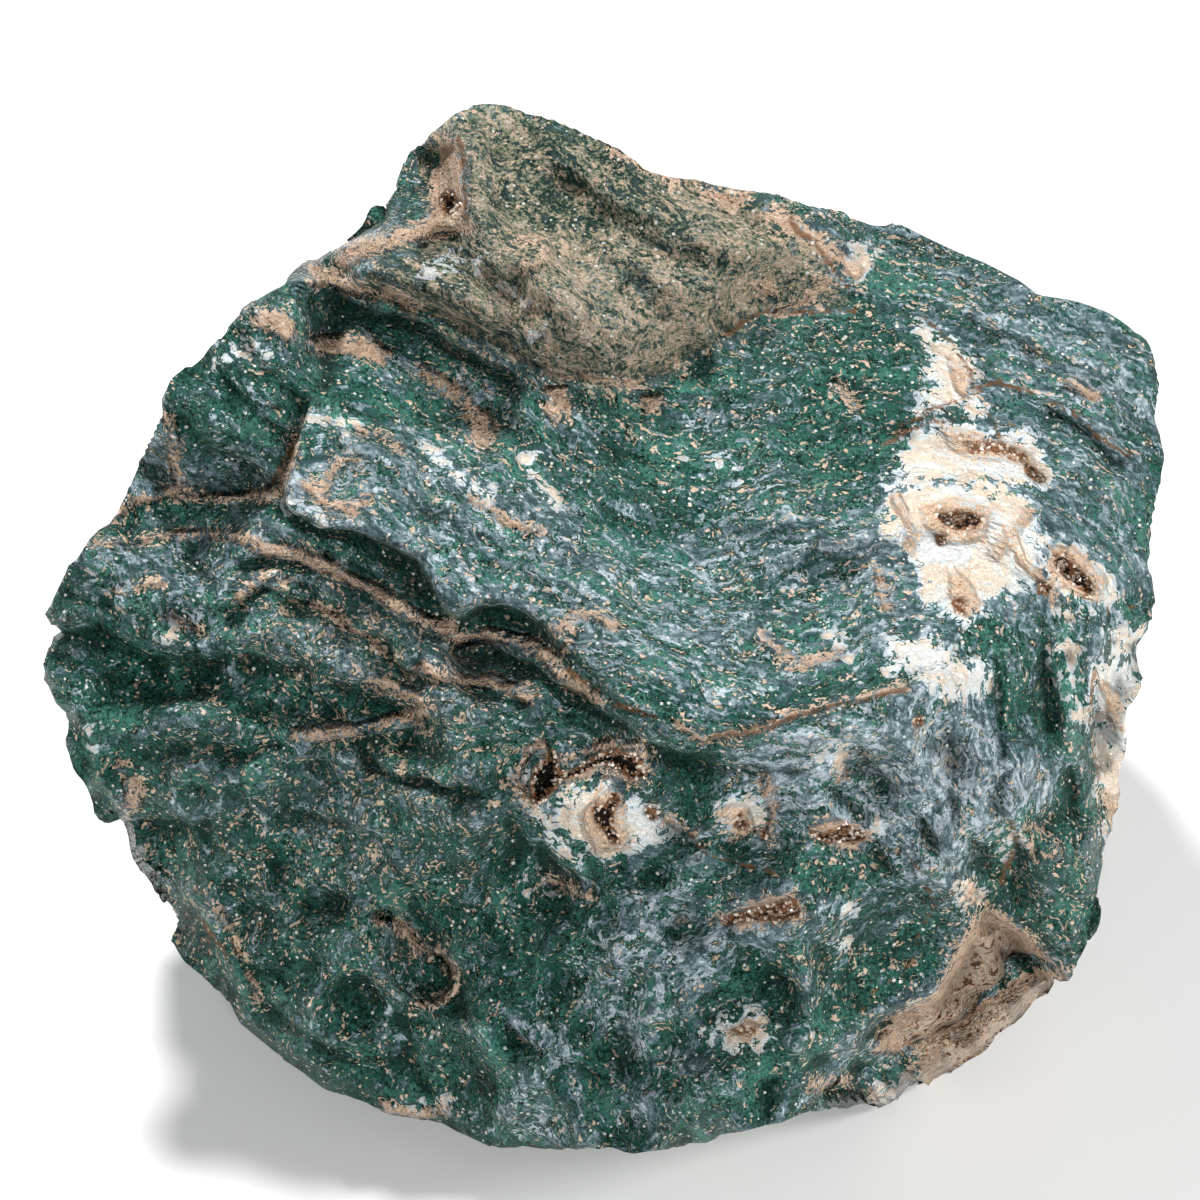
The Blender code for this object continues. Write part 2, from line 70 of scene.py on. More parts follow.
outline = [  # the stone's outline as seen, clockwise from the peak
    (-8.1, 35.4), (-6.6, 35.2), (-5.2, 34.6), (-3.3, 34.3), (-1.3, 33.6), (0.4, 32.6), (2, 31.6), (3.3, 30.6),
    (5, 30.1), (7, 29.9), (8.5, 29.5), (10, 29.2), (12.5, 28.9), (15, 28), (17.5, 27.7), (18.7, 27.9), (20, 27.5),
    (22.5, 26.2), (25, 25), (27.5, 24), (30, 22.7), (31.2, 21.7), (32.5, 21.5), (35, 21), (37.5, 19.7), (38.2, 19),
    (40, 17.9), (40.6, 17), (40.3, 15.5), (39.6, 14), (39.5, 12.7), (40.1, 11), (41.1, 8.9), (40.5, 7), (39.3, 6),
    (39.2, 4), (39, 2.5), (39.8, 0.5), (40, -0.5), (40.2, -2.5), (39.7, -3.2), (39.2, -5), (38.4, -6.5),
    (37.4, -8), (37.5, -9.5), (37.4, -11), (36.9, -12.5), (37.1, -14), (37.3, -16), (37.7, -17.5), (37.7, -19),
    (36.9, -20.5), (36, -22), (35.4, -24), (35.2, -26), (34.8, -26.5), (33, -27.3), (31, -28.5), (29.8, -30),
    (28.2, -31), (27.4, -32.3), (25.8, -33), (24.7, -34), (23.5, -35), (22.6, -36), (21.5, -36.3), (20, -36.1),
    (18.5, -36.4), (15, -36.4), (12.5, -37.3), (10, -37.9), (8.8, -38), (7.9, -38.6), (6.6, -38.7), (5, -39.1),
    (4, -39.2), (2.9, -39.7), (2.3, -39.6), (1, -39), (-2.5, -39.1), (-3.7, -39.2), (-5, -38.9), (-7.6, -39.1),
    (-8.5, -38.8), (-10, -38), (-12.5, -37.8), (-15, -37.5), (-16.7, -37.6), (-17.6, -37.4), (-18.7, -36.6),
    (-20, -36), (-21.3, -35.6), (-22.4, -34.9), (-23.2, -34.6), (-24.3, -33.7), (-25.2, -32.6), (-25.9, -31.2),
    (-27, -30.2), (-27.4, -29), (-28.5, -28.1), (-29.8, -27.1), (-30.6, -26.1), (-30.9, -24.8), (-31.3, -23.3),
    (-31.8, -22.2), (-32.8, -21.1), (-33.2, -19.5), (-33.4, -18.1), (-34.2, -17.3), (-35.2, -16), (-36.1, -15.6),
    (-37.1, -14.6), (-37.4, -13), (-37.9, -10.9), (-38.6, -9.3), (-38.8, -7.7), (-39.3, -6.5), (-40.1, -5.5),
    (-39.9, -4.7), (-39.2, -3.4), (-39.5, -1.2), (-39, 0.4), (-38.4, 1.5), (-37.6, 2.6), (-36.9, 3.7),
    (-36.3, 4.8), (-35.1, 5.2), (-34.4, 6.1), (-33.8, 7.4), (-33.1, 8.9), (-32.7, 10.4), (-32, 11.5),
    (-31.1, 13.3), (-31.2, 14.4), (-30.8, 15.6), (-29.2, 17.5), (-27, 18.6), (-25.4, 20.8), (-24.3, 21.5),
    (-22.4, 22.5), (-22.1, 23.3), (-21, 24.3), (-20.6, 25.3), (-19.3, 26.6), (-17.7, 27.7), (-16.6, 28.2),
    (-15.3, 28.2), (-14.9, 29), (-14.3, 30.3), (-13.9, 31.6), (-12.9, 32.4), (-11.6, 33.9), (-10.3, 34.6),
    (-9, 35.2),
]

mainForms = {
    "lip": [  # the plateau's lip, from the notch on the left past the nearest corner to the right
        (-20.8, 13.8), (-21.7, 11), (-22.5, 8), (-22.4, 6.6), (-20, 5.2), (-17.5, 5), (-15.2, 4), (-13, 2.8),
        (-12, 1), (-11, -0.8), (-10, -1.2), (-8.5, -0.4), (-7, -0.3), (-5.5, -0.8), (-4, -1.8), (-3, -3),
        (-1.5, -4.2), (-0.5, -5), (0.5, -6.3), (1.5, -7.4), (3, -7.9), (4.5, -8.2), (6, -9), (7.6, -10),
        (9.5, -9.2), (12.5, -8.2), (17.5, -7.1), (22, -6), (33, -2), (46, -1),
    ],
    "plateauBack": [(46, 45), (-17, 45), (-17, 22)],
    "knob": [  # the raised block's foot from left to right, then round behind the outline
        (-20, 24.2), (-17.5, 22.6), (-15.5, 21.5), (-12.5, 20.2), (-10, 19.5), (-7.5, 18.5), (-5, 16.8), (-3, 15.8),
        (0, 15.4), (2.5, 15.2), (4, 16), (6, 17.5), (8, 18), (9, 19.3), (12, 20.3), (15.2, 20.4), (17.5, 20.7),
        (19.6, 22.6), (20.3, 25), (20.6, 28), (20, 45), (-24, 45), (-24, 26),
    ],
    "knobRidge": [(-10.2, 37), (-10, 33), (-9.8, 31), (-10, 29.4), (-10.3, 27.4), (-12, 26.8), (-14, 26.6),
                  (-17.5, 25), (-20, 23.6), (-24, 21.8)],
    "lobe": [(-23, 22), (-20.2, 24), (-17.5, 25.4), (-15, 27), (-14.6, 28.6), (-17, 30), (-23, 27)],
    "blockEdge": [(-43, -1.8), (-35.5, -0.8), (-32, -2.7), (-28, -3.3), (-25, -2.9), (-22.5, -3.5), (-19, -4.3),
                  (-16, -5.2), (-13.5, -6.3), (-11, -8)],
    "underRidge": [
        (-43, -1), (-40, -4.7), (-39, -5.7), (-38.3, -7), (-36.7, -9.2), (-35.7, -12.5), (-34.6, -14.3),
        (-33.2, -15.8), (-32.7, -18), (-30.2, -20.1), (-28.7, -21.9), (-27.4, -23.9), (-26.5, -25.9),
        (-25.6, -28.1), (-25.2, -29.8), (-23.7, -30.9), (-21.9, -32.2), (-19.9, -33.2), (-17.8, -34.3),
        (-16.2, -35.2), (-15, -36.3), (-12.5, -36.5), (-10.3, -37.1), (-9, -38), (-7.5, -38.7), (-2, -39),
        (2, -43),
    ],
    "crust": [
        (27.4, -21.6), (30.3, -23.3), (33.4, -27.2), (38, -29), (28, -41), (20, -41), (14.8, -35.2), (17.5, -32),
        (19.6, -29.4), (23.6, -27.8), (24.8, -25.8), (25.8, -24),
    ],
    "darkBlock": [
        (31, -16.6), (33, -15.2), (35.5, -15), (36.3, -16.5), (36.1, -20), (35.2, -24), (34.6, -26), (33.2, -26.9),
        (31.5, -24.6), (30.2, -22.3), (29.7, -19.6), (30.2, -17.6),
    ],
    "paleRim": [
        (34.8, -4.5), (36, -2), (43, -3), (43, -22), (36.5, -21.5), (36.3, -16.5), (35.2, -14.8), (34.9, -10),
    ],
}

# Small ledges: the line, with the drop on the right of someone walking along it, then the drop, the width
# of its wall and how far beyond it the surface takes to come back to level.
ledges = [
    ([(-27, 4.6), (-25, 3.4), (-22, 3), (-19, 2), (-16.5, 0.6), (-15, -0.6), (-11, -2.4), (-8, -3), (-4.5, -3.9)], 0.9, 0.5, 3),
    ([(-27.5, 0.2), (-24, 1), (-20, 0.2), (-17.5, -1.5), (-15.5, -2.7), (-14, -4.5), (-12, -5.5)], 0.9, 0.5, 3),
    ([(-14, -4.4), (-10, -5.9), (-7.5, -6.4), (-4, -7.5)], 0.7, 0.5, 3),
    ([(-12, -3.3), (-8, -3.4), (-5.4, -4.1), (-2.5, -5.6), (0, -7.5), (2.5, -9), (5, -10.4), (7.6, -10.9), (10.5, -10.1)], 1.5, 0.8, 4),
    ([(-4.5, -2.3), (-3, -3.7), (-1.5, -5), (0, -6.2)], 0.5, 0.35, 2),
    ([(-9, 6.2), (-11.5, 7.2), (-12.6, 8.8), (-14, 10.2), (-17, 11.6), (-20.5, 12.5)], 0.5, 0.4, 4),
    ([(-17.2, -10), (-16, -11), (-14, -12.7), (-10, -12.9), (-8, -13.8)], 1.4, 0.5, 3),
    ([(-34.5, -15.7), (-31, -15.9), (-27, -16.1)], 1.1, 0.5, 4),
    ([(-27, -25), (-24, -26.4), (-21.4, -27.6)], 0.6, 0.4, 3),
    ([(-26.5, -27.5), (-23, -29.4), (-20.2, -31.4), (-17.5, -32.2)], 0.7, 0.4, 3),
    ([(-17.5, -22.5), (-14.5, -22), (-13.2, -23.6), (-12.6, -24.6), (-11.4, -25), (-10.2, -26.2)], 1, 0.5, 3),
    ([(-10.7, -26.2), (-10.8, -27.8), (-12.4, -28.7), (-15.2, -28)], 0.8, 0.4, 2),
    ([(-15, -18.6), (-13, -20.2), (-11.5, -21.2)], 0.4, 0.4, 2.5),
    ([(-22, -9.8), (-18, -9.7), (-14.5, -8.9), (-12, -8.2)], 0.5, 0.6, 3),
    ([(-7, -14), (-4.5, -17), (-2, -19.2), (0.8, -21.2)], 0.9, 0.7, 4),
    ([(8.2, -22.4), (10.5, -21.9), (12.5, -21.2), (14.6, -20.3)], 0.9, 0.4, 2.2),
    ([(-7.5, -29), (-4.5, -31.6), (-1.5, -33), (1.5, -34.2)], 0.5, 0.5, 3),
    ([(15, -34.8), (18, -35.7), (21.5, -36.1)], 0.9, 0.4, 3),
    ([(12.2, -25.8), (14.3, -27.5), (14.6, -29.5), (16.2, -31.4)], 0.5, 0.6, 4),
    ([(32, 14.6), (35, 12.2), (38.6, 9.6)], 0.6, 0.5, 4),
    ([(-20, 23), (-17.4, 21.8), (-15, 20.7), (-12, 19.3), (-9.4, 18.3), (-6.6, 16.9), (-4, 15.3)], 1.5, 0.9, 3.5),
]

# Ribs and gullies: the line of the crest, how high it stands (or below 0, how deep it lies) and its half width.
ribs = [
    ([(-8.6, 35), (-9.3, 31), (-9.2, 28), (-7.6, 25.4), (-4.6, 23.4), (-2.2, 20.6), (-0.6, 17.4)], 1.9, 1.2),
    ([(-18.8, 23.4), (-15.5, 23.2), (-12, 22.2), (-9, 20.8), (-6.4, 18.8)], 1.9, 1.0),
    ([(-13.5, 26), (-11, 25.2), (-8.6, 23.2), (-6, 21.2), (-4, 19.2)], -1.9, 1.0),
    ([(-11.6, 32.6), (-11.2, 29.6), (-10.8, 27.6)], -2.2, 1.0),
    ([(-5.6, 25.8), (-4.2, 25.2), (-4.4, 23.6)], 0.7, 0.7),
    ([(-6, 34), (-1, 30.5), (4, 27.5), (9, 25), (14, 23.6)], 0.9, 1.4),
    ([(-4, 30.4), (2, 26.5), (8, 23), (14, 21.6)], -0.9, 1.5),
    ([(-1, 26.6), (5, 22.8), (10, 20.8)], 0.6, 1.2),
    ([(1, 22.4), (5, 19.6)], -0.7, 1.0),
    ([(3, 33), (8, 28.6), (14, 26)], -0.6, 1.0),
    ([(7.5, 20), (8.4, 17), (9, 14)], 0.6, 0.8),
    ([(12, 19.6), (15.6, 16), (18, 13), (20, 10.6)], 0.7, 1.0),
    ([(-19, 12.6), (-13, 9.8), (-8, 7), (-3, 4), (2, 0)], 0.6, 1.5),
    ([(-17, 7), (-12, 5), (-7, 1.6), (-2, -1.4)], -0.6, 1.3),
    ([(-20, 16.6), (-10, 12.5), (-2, 10.2), (6, 9.6)], -0.7, 1.6),
    ([(-18, 20.4), (-10, 17), (-4, 13.4)], 0.5, 1.2),
    ([(2, 8), (10, 6), (18, 6.5), (22, 11)], 0.5, 1.6),
    ([(4, 2), (12, 0), (20, 1)], -0.5, 1.8),
    ([(21.5, 11.6), (23, 16), (22.4, 20)], 0.6, 1.0),
    ([(28.5, 13), (33, 10.4), (38, 6.4)], 0.7, 1.2),
    ([(29, 17), (34, 14), (39, 11)], -0.6, 1.2),
    ([(-38, -2.6), (-36.4, -6), (-35.4, -10)], 0.8, 1.0),
    ([(-34, -8), (-27, -8.6), (-20, -9.2), (-13, -9)], 1.0, 1.0),
    ([(-35, -12.5), (-28, -12.6), (-22, -13.4)], 0.8, 1.2),
    ([(-33, -10.4), (-25, -10.8), (-18, -11.8)], -0.8, 0.9),
    ([(-30, -18.6), (-24, -18.2), (-16, -19.6)], 0.9, 1.4),
    ([(-28, -21.4), (-22, -21.2), (-17, -22)], -0.7, 1.2),
    ([(-16, -21), (-10, -20.6), (-6, -23)], 0.6, 1.0),
    ([(-26, -24), (-20, -24.4), (-14, -26.6)], 0.8, 1.2),
    ([(-22, -29.6), (-14, -31), (-8, -34.4)], 0.8, 1.2),
    ([(8, -11), (8.4, -15.4), (6.6, -19), (4, -23), (3, -30), (4, -38)], 0.9, 1.4),
    ([(28, -8), (27, -14), (24, -20), (20, -26)], 0.7, 1.6),
    ([(21, -9), (20, -14), (17, -19)], -0.6, 1.4),
    ([(14.6, -24.4), (15, -28.6), (13.4, -33)], 0.7, 1.0),
    ([(33, -4), (33.6, -9), (32, -15)], 0.6, 0.8),
    ([(31.4, -4), (31.6, -9), (30, -14)], -0.6, 0.8),
    ([(30.6, -24.4), (27.4, -27.6), (23.4, -31.6), (20.4, -34.4)], -1.2, 1.0),
    ([(28.4, -24), (25.4, -27.4), (21.6, -30.4)], 0.9, 0.9),
    ([(32.4, -28), (28.6, -30.6), (24.4, -34)], 0.8, 0.8),
]

# Hollows: the outline of the mouth, the depth and the width of the wall.
hollows = [
    ([(-3.7, -10.4), (-3.1, -11.2), (-2.8, -12.2), (-3.2, -13.2), (-4, -14.4), (-4.9, -14.8), (-5, -13.2), (-4.8, -11.9), (-4.2, -11.2)], 3.0, 0.9),
    ([(-3, -11.9), (-0.8, -11.6), (0.3, -11.1), (1.4, -10.8), (2.6, -10.9), (3.3, -12.4), (2.2, -12.5), (0.8, -12), (-1.4, -12.3), (-3, -12.6)], 2.0, 0.6),
    ([(0.9, -13.8), (0.4, -14.6), (-0.7, -15), (-0.4, -15.7), (0.3, -16.8), (0.6, -17.5), (1.4, -17.4), (1, -16.4), (0.9, -15.2), (1.3, -14.2)], 2.2, 0.5),
    ([(3.3, -15.2), (3.7, -14.9), (4.3, -15.4), (3.8, -15.8)], 0.9, 0.3),
    ([(9.4, -15.9), (9.8, -15.2), (10.3, -16.3), (9.7, -16.4)], 1.2, 0.3),
    ([(11.2, -16.6), (11.7, -16.5), (11.9, -17.2), (11.4, -17)], 0.7, 0.25),
    ([(15.1, -16.6), (16.2, -16.6), (17.4, -16), (18.8, -16.8), (18.6, -17.4), (17.3, -17.4), (16, -17.2)], 1.5, 0.45),
    ([(8.6, -22.6), (10.8, -22.2), (12.8, -21.5), (13.7, -21.2), (14.3, -22.6), (12.5, -23), (10.5, -22.9), (9, -23.2)], 1.3, 0.5),
    ([(22.4, -8.5), (23, -8.7), (22.8, -9.2), (22.3, -9)], 0.6, 0.25),
    ([(23.9, 6.3), (25.1, 6.4), (26.4, 6.2), (27.2, 5.7), (26.6, 5.1), (25.1, 5.1), (24.4, 5.5)], 1.8, 0.5),
    ([(23.8, 4.7), (24.4, 4.8), (24.6, 4.1), (24, 3.9)], 1.0, 0.3),
    ([(25.4, 0.5), (26.4, 0.4), (26.3, -0.9), (25.4, -0.8)], 0.5, 0.3),
    ([(32.3, 3.6), (33.3, 3.5), (34.6, 2.2), (35.5, 0.7), (34.9, 0.4), (33.6, 1.4), (32.6, 2.5)], 1.8, 0.5),
    ([(30.5, 9.7), (31.3, 9.2), (32, 8.5), (31.6, 8.3), (30.7, 8.9)], 1.0, 0.3),
    ([(25.8, 11.3), (28, 11.4), (30.8, 10.4), (30.4, 9.6), (28.3, 10.2), (26.2, 10.4)], 0.5, 0.5),
    ([(31.2, 1.6), (32.2, 1.2), (32, 0.3), (31.2, 0.6)], 0.6, 0.4),
    ([(-11.6, 28.9), (-10.6, 29.2), (-10, 28.4), (-10.4, 27.5), (-11.3, 27.4)], 2.0, 0.6),
    ([(9.2, -30.7), (10.8, -30.4), (11.4, -30.9), (10.2, -31.2)], 0.4, 0.3),
]

farSide = {
    "planes": [
        ((0.20, 0.90, 0.37), (-8, 22, 57)), ((0.40, 0.82, 0.41), (38, 10, 44)), ((-0.83, 0.54, 0.15), (-29, 5, 48)),
        ((0.98, 0.16, -0.10), (40, -3, 38)), ((-0.90, 0.36, -0.22), (-40, -8, 30)),
        ((0.93, 0.05, -0.35), (38.5, -15, 24)), ((0.72, 0.68, 0.05), (33, 20, 24)), ((0.10, 0.99, 0.00), (0, 31, 24)),
        ((-0.63, 0.50, -0.58), (-33, -11, 11)), ((-0.32, -0.18, -0.93), (-25, -19, 6)),
        ((0.00, -0.24, -0.97), (0, -32, 7.2)), ((0.40, -0.12, -0.91), (33, -21, 12)),
        ((0.10, 0.50, -0.86), (3, 29, 11)), ((-0.50, 0.50, -0.70), (-20, 21, 10)),
        ((0.50, 0.45, -0.74), (24, 20, 12)),
    ],
    "margin": 2.8,
    "edge": 1.6,
    "rimSlant": 0.6,
    "rimReach": 5.0,
    "rimSlantAfter": 0.1,
    "rimRounding": 0.5,
    "outlineMargin": 0.28,
    "softEdgeEvery": 6,
    "rimSpare": 3.0,  # how far the planes stand back just behind the rim, so that the outline rules there
    "spareReach": 6.0,
}

brokenFaces = {  # how strongly the small relief shows
    "front": 1.25,
    "plateau": 0.45,
    "hidden": 0.8,
    "fibres": 0.6,
    "ledgeDrop": 1.7,
    "ledgeWall": 0.6,
    "hollowDepth": 1.25,
    "strata": 0.95,  # height of the layers' steps that follow the threads
    "strataEvery": 3.3,
    "crust": 2.1,
    "creaseSizes": (0.18, 0.65),  # a crease is where the surface blurred by the first lies below it blurred by the second
}

# Where each colour lies in the picture: (outline, 0) is a closed patch and (line, width) is a streak.
colourZones = {
    # deep green moss patches, and painted shade on the walls under the lip and ledges, under the block edge and under
    # the knob's foot
    "deepMossAndShade": [
        ([(-22, 6.2), (-19, 4.6), (-15.5, 2.6), (-13, 1.2), (-11.3, -1.4), (-8, -1.3), (-5.5, -1.7), (-3.3, -3.4), (-1, -5.3), (1.3, -7.7), (4.5, -8.7), (7.7, -10.2)], 1.7),
        ([(-16, 3.6), (-12.8, 2.4), (-11.2, -1.2), (-13.4, -0.4), (-15.6, 1.2)], 0),
        ([(8.2, -9.1), (12.5, -7.7), (17.5, -6.5), (22, -5.5)], 1.3),
        # painted shade: the band under the block edge
        ([(-39, -1.5), (-32, -3.2), (-25, -3.2), (-19, -4.6), (-12, -7.6), (-18, -9), (-25, -6.5), (-39, -4)], 0),
        ([(-27.4, -0.4), (-24, 0.4), (-20, -0.4), (-17.5, -2.1), (-15.5, -3.3), (-13.6, -5.2)], 0.9),
        ([(-26.8, 4), (-25, 2.9), (-19, 1.6), (-15, -1)], 0.5),
        ([(-5, -4.9), (-2.5, -6.2), (0, -8.2), (2.5, -9.8), (5, -11.2), (7.5, -11.7)], 1.5),
        ([(-12.4, -5.4), (-8, -7), (-4.5, -8)], 1.0),
        ([(-3, -13), (0, -12.4), (2.5, -12.6), (4.5, -13.5), (6.5, -15)], 1.1),
        ([(-17, -9.5), (-15, -9), (-10, -9.6), (-8.6, -12), (-10, -13.2), (-14, -13.2), (-16.5, -11.2)], 0),
        ([(7.9, -26.9), (8.8, -25.6), (10.5, -25.2), (12.4, -25.8), (13.2, -27.4), (11, -28), (9, -28)], 0),
        ([(12.8, -24.6), (14.4, -25), (14.8, -27.4), (13.4, -27.2)], 0),
        ([(28.4, -2.6), (28.8, -6), (29.5, -9.4)], 1.0),
        ([(30.3, -3.4), (31, -7), (32.2, -9.8)], 0.9),
        ([(32.8, -3), (33.2, -6), (34.2, -9), (34.6, -14)], 1.1),
        ([(24.6, -0.6), (28, -1.6), (29.4, -3.6), (26, -3.4)], 0),
        ([(30, -2.6), (32.4, -2.2), (32.6, -4.4), (30.6, -4.6)], 0),
        ([(34, -15.2), (36.2, -16), (36, -20), (35, -24), (34.5, -26), (33, -27.3), (30.3, -22.5), (29.8, -19.5), (30.3, -17.5), (32.5, -16.8)], 0),
        ([(12.5, -18.2), (16, -17.8), (20, -18.2), (20, -20.8), (15.5, -21.2), (13, -20)], 0),
        ([(2, -9.5), (5.5, -10.8), (8, -11), (7.5, -13), (4, -12.4)], 0),
        ([(2, -10.5), (8, -12), (8.4, -16), (6.6, -16.4), (4, -14)], 0),
        ([(-28, 16.5), (-20, 16.2), (-12, 14.4), (-9.6, 12.5), (-14, 12.8), (-22, 14), (-27, 15)], 0),
        ([(-0.5, 5), (2, 11), (7, 11.5), (8, 6), (4, 4)], 0),
        ([(13.5, 11), (15.5, 19.6), (19.5, 20), (22, 13.5), (19, 10.8)], 0),
        ([(-31, 10.4), (-30.4, 14.8), (-27, 15.6), (-24.4, 15), (-24.8, 11.8), (-28, 11)], 0),
        ([(-35, 5.3), (-31, 6.7), (-27, 6.9), (-22.5, 6.7)], 1.7),
        ([(-22.6, 22.4), (-20.2, 24), (-17.5, 25.4), (-15, 27), (-15.2, 28.6), (-19, 27.6), (-22, 24.6)], 0),
        # painted shadow: the band under the knob's foot
        ([(-19, 20.8), (-15.5, 19.4), (-12, 17.8), (-9, 16.4), (-6, 14.8), (-3, 13.8), (2, 13.6), (6, 15)], 1.4),
        ([(39.2, 10.6), (41.4, 10), (41, 6), (39.4, 5.6)], 0),
        ([(-15.8, 23.6), (-13, 22.4), (-9.6, 20.8), (-10.6, 19.9), (-14.5, 21.4), (-16.8, 22.8)], 0),
        ([(-6.4, 22), (-3.6, 22.6), (-2, 19.4), (-5.8, 19.8)], 0),
        ([(-2, 32.8), (3, 30.4), (1.8, 28), (-4, 30), (-6, 31.5)], 0),
        ([(9, 29), (14.5, 27.8), (13, 24.4), (9.6, 26)], 0),
        ([(-24, -29.6), (-20, -27), (-15, -28.6), (-12.5, -33), (-16, -35), (-22, -32)], 0),
        ([(-35, -7), (-28, -6.8), (-22, -8.4), (-24, -11), (-31, -10), (-35.6, -10)], 0),
        ([(-34, -14.6), (-27, -15), (-22, -18), (-26, -22.6), (-31, -18.6)], 0),
        ([(-8, -16), (-6, -15), (-2.6, -19.4), (1, -22), (-2, -26.4), (-8, -23)], 0),
        ([(-13, -20), (-11, -16.4), (-8, -17), (-9, -23.6), (-12, -24)], 0),
        ([(24.4, -22.4), (20, -24.4), (14.6, -28.4), (13.4, -33), (16, -32.6), (19.4, -28.6), (24, -26)], 0),
    ],
    "pale": [
        ([(-20, 12), (-9, 9), (-2, 7), (6, 9), (14, 9), (20, 6), (22, -4), (14, -7), (8, -8.6), (0, -4.6), (-4, -1), (-10, 0), (-14, 4), (-20, 6)], 0),
        ([(9, -10.5), (16, -8.6), (24, -5), (29, -8), (30, -14), (27, -19), (23, -21.4), (19, -17), (13, -16), (8.4, -14)], 0),
        ([(8.6, -12.2), (12, -12), (14, -13.5), (13.5, -15.5), (14, -18.4), (11.5, -18.5), (9.6, -17), (8.6, -14.5)], 0),
        ([(-7.6, -28.4), (-4, -30), (-1, -31.5), (-1.6, -33.8), (-5, -32), (-7.6, -30.5)], 0),
        ([(3, -31.3), (6.5, -31.5), (8, -34.4), (4.5, -34.2)], 0),
        ([(-7.8, -35.3), (-5, -34.8), (-2.2, -36.5), (-2.4, -38.9), (-6, -39)], 0),
        ([(1.2, -34.6), (3.5, -34.8), (4.4, -38), (1.8, -38.6)], 0),
        ([(-6.2, -18.4), (-4, -18.5), (-3.6, -20.5), (-5.6, -20.8)], 0),
        ([(28.2, -0.6), (34, -0.8), (34.8, -2.6), (29, -2.4)], 0),
        ([(27.6, -11.8), (32, -11.4), (32.6, -14.8), (29, -15.8), (27.4, -14)], 0),
        ([(4.6, 9.4), (12, 9.6), (13, 13.4), (6, 14.4)], 0),
        ([(-29.6, 7.9), (-23.6, 7.9), (-24.4, 11.4), (-27, 10.9), (-29.6, 10)], 0),
        ([(-34.2, 6.6), (-31, 7.8), (-30.6, 12.6), (-32, 12)], 0),
        ([(-26.2, 12.6), (-23, 13), (-23.4, 15.6), (-26.4, 15.4)], 0),
        ([(0, -21.4), (5, -19.6), (9, -24), (8, -28), (2.4, -33), (-2, -29.6), (-2.4, -25)], 0),
        ([(24, 22.6), (31, 20.6), (37, 19), (39.4, 14), (36, 11), (31, 15), (28.6, 17.6)], 0),
        ([(-37, 1.6), (-35, 4), (-29, 3.8), (-25.6, -1), (-31, -1.4), (-36, 0)], 0),
        ([(-20, 12), (-12.6, 8), (-11, 1), (-15, 4), (-21.6, 6.6), (-21.4, 10)], 0),
        ([(-39, -4.5), (-35.5, -6), (-36, -7.8), (-38.5, -6.6)], 0),
        ([(9, -23.3), (14, -23), (14, -25), (10, -25.2)], 0),
        ([(15.5, 20.7), (18, 25), (20, 23), (19, 21.4), (17.5, 20.5)], 0),
        ([(-26, 14.6), (-24.4, 17.4), (-22.4, 17.2), (-23.4, 14.4)], 0),
        ([(14, -28.8), (17.5, -29.6), (18.5, -33.6), (14.6, -33)], 0),
        ([(-12, 18), (-4, 14.6), (2, 13.4), (4, 11.6), (-2, 11.6), (-9, 13.4)], 0),
    ],
    "white": [
        ([(22.8, 19.8), (25.2, 18.6), (27, 16.8), (27.6, 13), (25, 13.4), (22.6, 13.2), (23.2, 16)], 0),
        ([(20.6, 9.5), (22, 12.2), (26, 12.8), (30, 12.3), (32.6, 10.3), (32.8, 8.2), (30, 7.4), (25, 8.1), (21.5, 7.8)], 0),
        ([(20, 8.2), (23, 8.8), (28, 8.2), (31, 7.6), (31.5, 5), (31, 1.5), (29.4, 0), (26, -2), (23.2, -0.5), (22, 3), (20, 5)], 0),
        ([(31.2, 4.8), (33.5, 4.8), (35.8, 2.5), (37.2, 0.4), (36.2, -0.8), (34, -0.3), (31.8, 1.4)], 0),
        ([(20.2, -2.7), (23, -2.2), (25, -3.6), (28, -4.2), (28.2, -7), (24.6, -7.2), (22.4, -5.6), (20.6, -5.6)], 0),
        ([(33.5, -0.8), (33.4, -3.5), (33.9, -5.5), (34.2, -8.4)], 1.1),
        ([(34.9, -4.4), (38.8, -4.4), (38.4, -9), (38.3, -15.2), (38.6, -20.6), (36.3, -20.8), (35.8, -14.6), (34.9, -9)], 0),
        ([(36, -2), (39, -1.4), (39.6, -3.9), (36.8, -4.2)], 0),
        ([(-3, -13.7), (0, -13.3), (3, -14.3), (6.2, -16.3), (3, -18), (0.5, -18.5), (-1.5, -17.5), (-3.5, -15.5)], 0),
        ([(-5.4, -11.4), (-5.2, -13.5), (-4.9, -15.2), (-3.2, -17), (-1.5, -18.8)], 0.9),
        ([(8.4, -14.6), (10.2, -13.8), (12.2, -15.6), (12.6, -17.6), (10.6, -17.2), (8.8, -16.6)], 0),
        ([(16.2, -10), (17.8, -10.3), (17.4, -12.3), (16, -12)], 0),
        ([(7.3, -30.5), (8.8, -29.5), (11, -29.4), (12.8, -30.6), (11.6, -32), (9, -32.1)], 0),
        ([(18.4, -34.6), (20, -32.8), (22.5, -33), (24, -34), (22.3, -36), (19.5, -35.9)], 0),
        ([(18.9, -15.6), (20.6, -15.7), (20.4, -16.9), (19.2, -17)], 0),
        ([(25.4, -20.4), (26.6, -19.7), (27.6, -20.6), (26.8, -22), (25.6, -21.6)], 0),
        ([(14.8, -20.5), (15.8, -20.7), (15.4, -21.6)], 0),
        ([(16.9, -21.6), (18.2, -21.5), (18.2, -22.7), (17, -22.6)], 0),
        ([(16.6, -24.4), (18.2, -23.9), (18.4, -24.9), (17.2, -25.2)], 0),
        ([(23.9, -11.2), (25.3, -11), (25, -12.3), (24, -12.2)], 0),
        ([(28.6, -16), (30.4, -15.6), (30.4, -17.6), (28.8, -18)], 0),
        ([(-20.6, 12.9), (-18.8, 12.9), (-17.2, 12.5)], 1.0),
